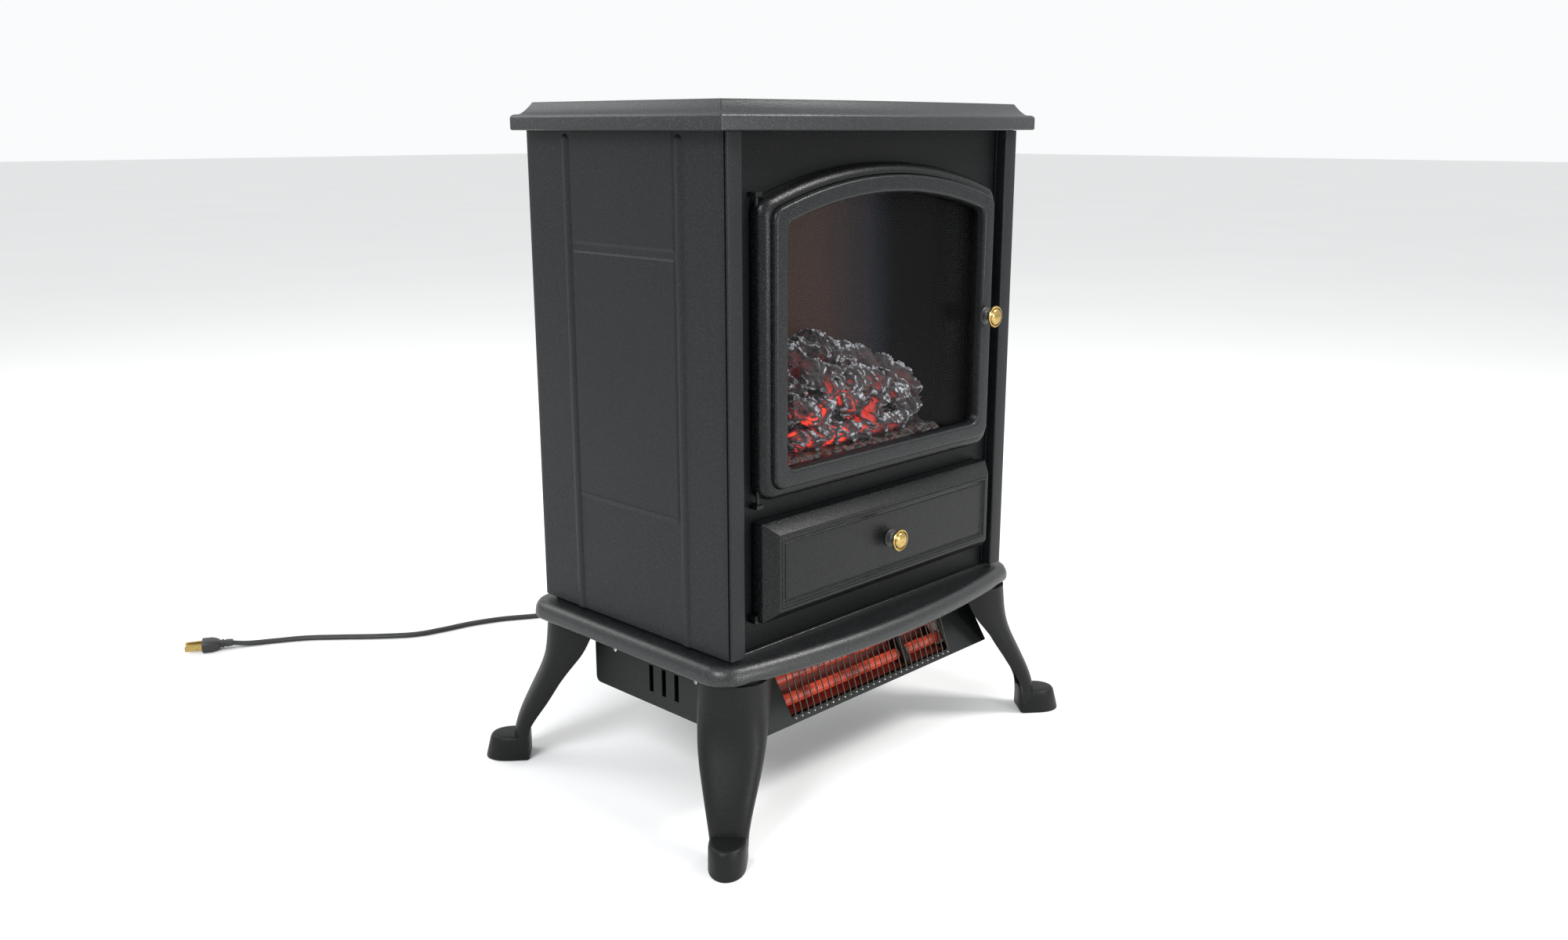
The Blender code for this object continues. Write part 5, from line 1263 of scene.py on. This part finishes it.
# ---------------------------------------------------------------- the heater
@dataclass
class Heater(Assembly):
    """The slung heater box with its quartz tubes, reflector and wire guard."""

    low: float = 0.0750
    face_foot: float = FRONT + 0.0005
    face_head: float = FRONT + 0.0365
    high: float = 0.1300
    middle: float = 0.1000
    half: float = 0.1566
    tube_half: float = 0.1160
    guard_half: float = 0.1030
    wires: int = 28

    def slope(self, along: float, proud: float) -> Array:
        """Return (y, z) on the slanted face: along it from the window's middle, and out from it."""
        run = np.array([self.face_head - self.face_foot, self.high - self.low])
        middle = (self.face_foot, self.low) + run * (self.middle - self.low) / run[1]
        run = run / np.linalg.norm(run)
        return middle + run * along + np.array([-run[1], run[0]]) * proud

    def wire_places(self) -> Array:
        """Return the x of each wire of the guard."""
        span = self.guard_half - 0.0028
        return np.linspace(-span, span, self.wires)

    def build(self) -> None:
        """Dress the box and build the tubes, the guard and the screws."""
        # the reflector's finish paints the tubes' red glow into it
        self.dress(heater_box="heater", reflector="mirror", left_tube_holder="ceramic",
                   right_tube_holder="ceramic")
        self.tubes()
        self.guard()
        self.feet()
        self.support()
        self.screws()

    def tubes(self) -> None:
        """Quartz tubes, each with a narrower seal at its ends."""
        share = np.linspace(-1, 1, 61)
        radius = (np.where(abs(share) > 0.94, 0.0047, 0.0049)
                  - 0.0012 * np.clip(abs(share) - 0.985, 0, 1) / 0.015)
        profile = np.column_stack([radius, (share + 1) * self.tube_half])
        for name, along in (("upper_quartz_tube", 0.0090), ("lower_quartz_tube", -0.0090)):
            foot = (-self.tube_half, *self.slope(along, -0.0120))
            tube = Sheaf().turned(profile, foot, (1, 0, 0), 24)
            self.make(tube, name + "_lit", "quartz", "quartz glass", name)

    def guard(self) -> None:
        """Bent wires along one shape, repeated across, and a thin rail."""
        shape = [(-0.0244, -0.0010), (-0.0240, 0.0014), (-0.0205, 0.0030), (-0.0050, 0.0066),
                 (0.0110, 0.0102), (0.0150, 0.0108), (0.0180, 0.0092), (0.0225, 0.0032),
                 (0.0250, 0.0006)]
        path = smooth_path([(0, *self.slope(*point)) for point in shape], 0.0022)
        along = headings(path)
        side = np.array([1.0, 0, 0])
        above = np.cross(along, side)[:, None]
        turn = np.linspace(0, 2 * np.pi, 8, endpoint=False)[:, None]
        wire = path[:, None] + 0.00062 * (np.cos(turn) * side + np.sin(turn) * above)
        sheaf = Sheaf()
        for x in self.wire_places():
            sheaf.loft(wire + (x, 0, 0))
        y, z = self.slope(0.0250, 0.0009)
        sheaf.rod((-self.guard_half, y, z), (self.guard_half, y, z), 0.00075, 10)
        self.make(sheaf, "wire_guard", "guard", "guard wire", "guard_grille", sharp=60)

    def feet(self) -> None:
        """A dark eyelet where each wire goes back through the face, and beside it a bright steel
        bead that is a painted glint on the hole's edge.
        """
        eyelets, glint_beads = Sheaf(), Sheaf()
        direction = (0, *(self.slope(0, 1) - self.slope(0, 0)))
        upper, lower = self.slope(-0.0246, 0.0), self.slope(-0.0256, 0.0003)
        for x in self.wire_places():
            eyelets.turned([(0.0006, 0.0001), (0.0017, 0.0001), (0.0018, 0.0004),
                            (0.0014, 0.0006), (0.0006, 0.0003)], (x, *upper), direction, 12)
            # a bright bead low and to the right of each hole: a painted glint
            glint_beads.turned([(0.0003, 0), (0.0007, 0.0002), (0.0006, 0.0006), (0.0002, 0.0008)],
                         (x + 0.0007, *lower), direction, 8)
        self.make(eyelets, "guard_eyelets", "plastic", "black powder coat", sharp=60)
        self.make(glint_beads, "guard_glint_beads", "bright", "bright steel", sharp=60)

    def support(self) -> None:
        """A folded strip that holds both tubes a little right of the middle."""
        bends = ((-0.0200, -0.0172), (-0.0200, -0.0060), (-0.0150, -0.0046),
                 (0.0150, -0.0046), (0.0200, -0.0060), (0.0200, -0.0172))
        outline = rounded([self.slope(*bend) for bend in bends], 0.0006, 2)
        rings = [across(outline, x) for x in (0.0500, 0.0503, 0.0567, 0.0570)]
        self.make(Sheaf().loft(np.array(rings)), "tube_support", "heater", "galvanised steel")

    def screws(self) -> None:
        """Pan heads on the box's ends and face."""
        bright = Sheaf()
        for side in (-1, 1):
            for y in (FRONT + 0.0590, FRONT + 0.1600):
                screw(bright, (side * self.half, y, 0.1114), (side, 0, 0), 0.0022)
            screw(bright, (side * 0.1180, *self.slope(0.0160, 0)), (0, -0.835, 0.55), 0.0022)
        self.make(bright, "heater_screws", "bright", "bright steel")


# ---------------------------------------------------------------- the mains cord
@dataclass
class MainsCord(Assembly):
    """A flat twin cord: strain relief, lead to the floor, tied coil, run and plug."""

    width: float = 0.0081
    thick: float = 0.0045
    length: float = 1.65
    exit: tuple = (0.0600, 0.1445, 0.1720)
    coil: tuple = (0.1120, 0.3120)
    outer: float = 0.0481
    inner: float = 0.0399
    turns: float = 3.5
    lead: tuple = ((0.0600, 0.1440, 0.1720), (0.0600, 0.1520, 0.1716), (0.0602, 0.1640, 0.1688),
                   (0.0608, 0.1780, 0.1590), (0.0618, 0.1900, 0.1380), (0.0628, 0.1980, 0.1100),
                   (0.0636, 0.2040, 0.0780), (0.0640, 0.2090, 0.0460), (0.0652, 0.2180, 0.0200),
                   (0.0690, 0.2310, 0.0066), (0.0760, 0.2430, 0.0030), (0.0880, 0.2540, 0.0025),
                   (0.1010, 0.2620, 0.0025))
    run: tuple = ((0.1000, 0.3612, 0.0070), (0.0850, 0.3680, 0.0050), (0.0660, 0.3800, 0.0030),
                  (0.0400, 0.3970, 0.0025), (0.0162, 0.4098, 0.0025), (-0.0143, 0.4280, 0.0025),
                  (-0.0473, 0.4405, 0.0025), (-0.0790, 0.4470, 0.0025), (-0.1083, 0.4560, 0.0025),
                  (-0.1393, 0.4800, 0.0025), (-0.1680, 0.5070, 0.0025), (-0.1962, 0.5320, 0.0025),
                  (-0.2242, 0.5486, 0.0025), (-0.2480, 0.5600, 0.0034), (-0.2640, 0.5680, 0.0062))

    def centreline(self) -> Array:
        """Return the whole line: the lead, the turns of the coil, and the run.

        A turn's radius is the outer one on the first and last turns and the inner one between,
        and its height steps up by one thickness after the second turn.
        """
        t = np.linspace(0.02, self.turns - 0.02, 420)

        def ease(value: Array) -> Array:
            """Return a smooth rise from 0 to 1."""
            value = np.clip(value, 0, 1)
            return value * value * (3 - 2 * value)

        inward = ease((t - 0.86) / 0.12) - ease((t - 2.86) / 0.12)
        radius = self.outer - (self.outer - self.inner) * inward
        z = 0.0025 + 0.0046 * ease((t - 1.80) / 0.14)
        angle = -np.pi / 2 + 2 * np.pi * t
        turns = np.column_stack([self.coil[0] + radius * np.cos(angle),
                                 self.coil[1] + radius * np.sin(angle), z])
        curve = [smooth_path(self.lead, 0.002), turns, smooth_path(self.run, 0.002)]
        return even_path(np.concatenate(curve), 0.0035)

    def build(self) -> None:
        """The section is an ellipse with a notch above and below, kept level except where the line
        is steep, and there it faces back.
        """
        path = self.centreline()
        angle = np.linspace(0, 2 * np.pi, 28, endpoint=False)
        notch = 1 - 0.30 * np.exp(-(np.cos(angle) / 0.16) ** 2)
        along = headings(path)
        steep = np.clip((abs(along[:, 2:3]) - 0.3) / 0.5, 0, 1)
        side = np.cross((0, 0, 1) * (1 - steep) + (0, 1, 0) * steep, along)
        side /= np.linalg.norm(side, axis=1, keepdims=True)
        above = np.cross(along, side)
        rings = (path[:, None]
                 + self.width / 2 * np.cos(angle)[:, None] * side[:, None]
                 + self.thick / 2 * (np.sin(angle) * notch)[:, None] * above[:, None])
        cord = self.make(Sheaf().loft(rings), "mains_cord", "rubber", "flexible black",
                         "cord_lead", "cord_coil", "cord_run", sharp=60)
        plug, blades = self.plug(path)
        tie = self.tie()
        self.relief()

    def plug(self, path: Array) -> tuple[bpy.types.Object, bpy.types.Object]:
        """Loft a gripped plug body by rounded sections along its axis, with two flat blades.

        Args:
            path: the cord's line, which ends in the plug.

        Returns:
            The body and the blades.
        """
        along = (path[-1] - path[-4]) * (1, 1, 0)
        along /= np.linalg.norm(along)
        beside = np.array([-along[1], along[0], 0])
        end = np.array([*path[-1, :2], 0.0063])

        def section(distance: float, aside: float, wide: float, tall: float, corner: float,
                    steps: int) -> Array:
            """Return a rounded rectangle of half sizes wide and tall, square to the axis."""
            outline = rounded(rectangle(-wide, wide, -tall, tall), corner, steps)
            return (end + along * distance + (outline[:, :1] + aside) * beside
                    + outline[:, 1:] * (0, 0, 1))

        grip = ((-4.0, 4.4, 2.7), (0.0, 5.0, 3.0), (3.0, 5.2, 3.2), (3.4, 4.5, 2.7),
                (4.8, 4.5, 2.7), (5.2, 5.4, 3.5), (7.0, 5.5, 3.6), (7.4, 4.8, 3.1),
                (8.8, 4.9, 3.2), (9.3, 5.9, 4.0), (12.0, 7.6, 5.0), (15.0, 9.2, 5.7),
                (17.5, 9.9, 5.9), (25.0, 10.0, 6.0), (26.4, 9.7, 5.7), (26.8, 9.0, 5.1))
        rings = [section((distance + 0.6) * MM, 0, wide * MM, tall * MM,
                         min(wide, tall) * 0.62 * MM, 6) for distance, wide, tall in grip]
        plug = self.make(Sheaf().loft(np.array(rings)), "mains_plug", "rubber", "flexible black",
                         "plug", sharp=40)
        blades = Sheaf()
        for side in (-1, 1):
            rings = [section(distance, side * 0.00635, 0.00075, 0.00315 - trim, 0.0003, 2)
                     for distance, trim in ((0.0262, 0), (0.0417, 0), (0.0435, 0.0003),
                                            (0.0442, 0.0008))]
            blades.loft(np.array(rings))
        return plug, self.make(blades, "plug_blades", "brass", "brass")

    def tie(self) -> bpy.types.Object:
        """A strap round the coil's section: a rounded loop carried a little way along the turns."""
        middle = (self.coil[0] + (self.outer + self.inner) / 2, self.coil[1], 0.0049)
        wide = (self.outer - self.inner) / 2 + self.width / 2 + 0.0004
        tall, skin, reach = 0.0050, 0.0007, 0.0045
        outside = rounded(rectangle(-wide - skin, wide + skin, -tall + 0.0004, tall + skin),
                          0.0020, 5)
        inside = rounded(rectangle(-wide, wide, -tall + 0.0009, tall), 0.0014, 5)
        rings = [upright(outline, y) + middle for outline, y in
                 ((outside, -reach), (outside, reach), (inside, reach), (inside, -reach))]
        return self.make(Sheaf().loft(np.array(rings), ends=False), "coil_tie", "rubber",
                         "flexible black", "cord_tie", sharp=50)

    def relief(self) -> None:
        """A tapered boot with rings: its radius falls along it and dips in each groove."""
        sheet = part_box("back_panel")[1].y
        low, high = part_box("strain_relief")
        face, length = sheet - low.y, high.y - low.y
        along = np.linspace(face + 0.0046, length - 0.0006, 60)
        share = (along - along[0]) / (along[-1] - along[0])
        grooves = (np.sin(share * 2 * np.pi * 6) > 0.35) * (share < 0.94)
        radius = 0.0062 - 0.0012 * share - 0.0007 * grooves
        profile = [(0.0040, 0), (0.0072, 0.0), (0.0074, 0.0010), (0.0058, 0.0014),
                   (0.0058, face + 0.0003), (0.0082, face + 0.0004), (0.0084, face + 0.0020),
                   (0.0078, face + 0.0032), (0.0064, face + 0.0038), *zip(radius, along),
                   (0.0045, length - 0.0001), (0.0030, length)]
        boot = Sheaf().turned(profile, (self.exit[0], low.y, self.exit[2]), (0, 1, 0), 40)
        self.make(boot, "cord_boot", "rubber", "flexible black", "strain_relief", sharp=40)


# ---------------------------------------------------------------- studio
@dataclass
class Studio:
    """Camera, floor and soft lights."""

    eye: tuple = (-0.8377, -0.8073, 0.5409)
    aim: tuple = (0.6987, 0.6726, -0.2442)
    lens: float = 31.243
    reach: float = 24.0
    air: tuple = (0.985, 0.992, 1.0)
    air_strength: float = 0.97

    @staticmethod
    def aimed(name: str, data: bpy.types.ID, place: tuple, aim: Vector) -> bpy.types.Object:
        """Put a camera or a lamp at a place, turned along an aim.

        Args:
            name: the object's name.
            data: the camera or light.
            place: where it is.
            aim: the way it faces.

        Returns:
            The object.
        """
        made = bpy.data.objects.new(name, data)
        made.location = place
        made.rotation_mode = "QUATERNION"
        made.rotation_quaternion = aim.to_track_quat("-Z", "Y")
        bpy.context.scene.collection.objects.link(made)
        return made

    def camera(self) -> None:
        """Place the camera at its eye, turned along its aim."""
        data = bpy.data.cameras.new("studio_camera")
        data.lens, data.sensor_width = self.lens, 36.0
        data.clip_start, data.clip_end = 0.01, 50
        bpy.context.scene.camera = self.aimed("studio_camera", data, self.eye, Vector(self.aim))

    def light(self, name: str, place: tuple, target: tuple, size: float, power: float,
              colour: tuple) -> None:
        """Add a square soft light that faces a point.

        Args:
            name: the lamp's name.
            place: where it is.
            target: the point it faces.
            size: its side in metres.
            power: its power in watts.
            colour: its colour.
        """
        data = bpy.data.lights.new(name, "AREA")
        data.size, data.energy, data.color = size, power, colour
        self.aimed(name, data, place, Vector(target) - Vector(place))

    def floor(self) -> None:
        """Make a wide pale floor."""
        mesh = bpy.data.meshes.new("studio_floor")
        corners = rectangle(-self.reach, self.reach, -self.reach, self.reach)
        mesh.from_pydata(lift(corners, 0).tolist(), [], [(0, 1, 2, 3)])
        floor = bpy.data.objects.new("studio_floor", mesh)
        bpy.context.scene.collection.objects.link(floor)
        b = Bench("pale_floor")
        b.set(Base_Color=b.tinted(b.noise(1.5, 3), 0.3, 0.7, (0.790,) * 3, (0.805,) * 3),
              Roughness=0.8, Specular_IOR_Level=0.1)
        mesh.materials.append(b.material)

    def build(self) -> None:
        """Make the floor, the world and the lights."""
        self.floor()
        world = bpy.data.worlds.new("studio_air")
        world.use_nodes = True
        colour, strength = world.node_tree.nodes["Background"].inputs[:2]
        colour.default_value, strength.default_value = (*self.air, 1), self.air_strength
        bpy.context.scene.world = world
        self.light("key", (-2.0, -0.5, 1.9), (0, 0, 0.35), 0.9, 48, (0.97, 0.99, 1.0))
        self.light("high_front", (0.9, -1.3, 1.9), (0, -0.1, 0.2), 0.6, 40, (1.0, 0.99, 0.97))
        self.light("front_strip", (0.05, -1.9, 0.50), (0, 0, 0.35), 0.35, 13, (1.0, 1.0, 1.0))
        self.light("back_rim", (-0.9, 1.9, 1.7), (0, 0, 0.35), 1.2, 16, (1, 1, 1))
        bpy.context.scene.view_settings.view_transform = "Standard"


def main() -> None:
    """Build the studio and the stove in order."""
    logging.basicConfig(level=logging.INFO, format="%(name)s %(message)s")
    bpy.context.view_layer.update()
    studio = Studio()
    studio.camera()
    finishes = Finishes().build()
    for assembly in (MainsCord, Casing, Legs, Door, Flap, Controls, Fire, Heater):
        log.info("building %s", assembly.__name__)
        assembly(finishes).build()
    studio.build()


if __name__ == "__main__":
    main()
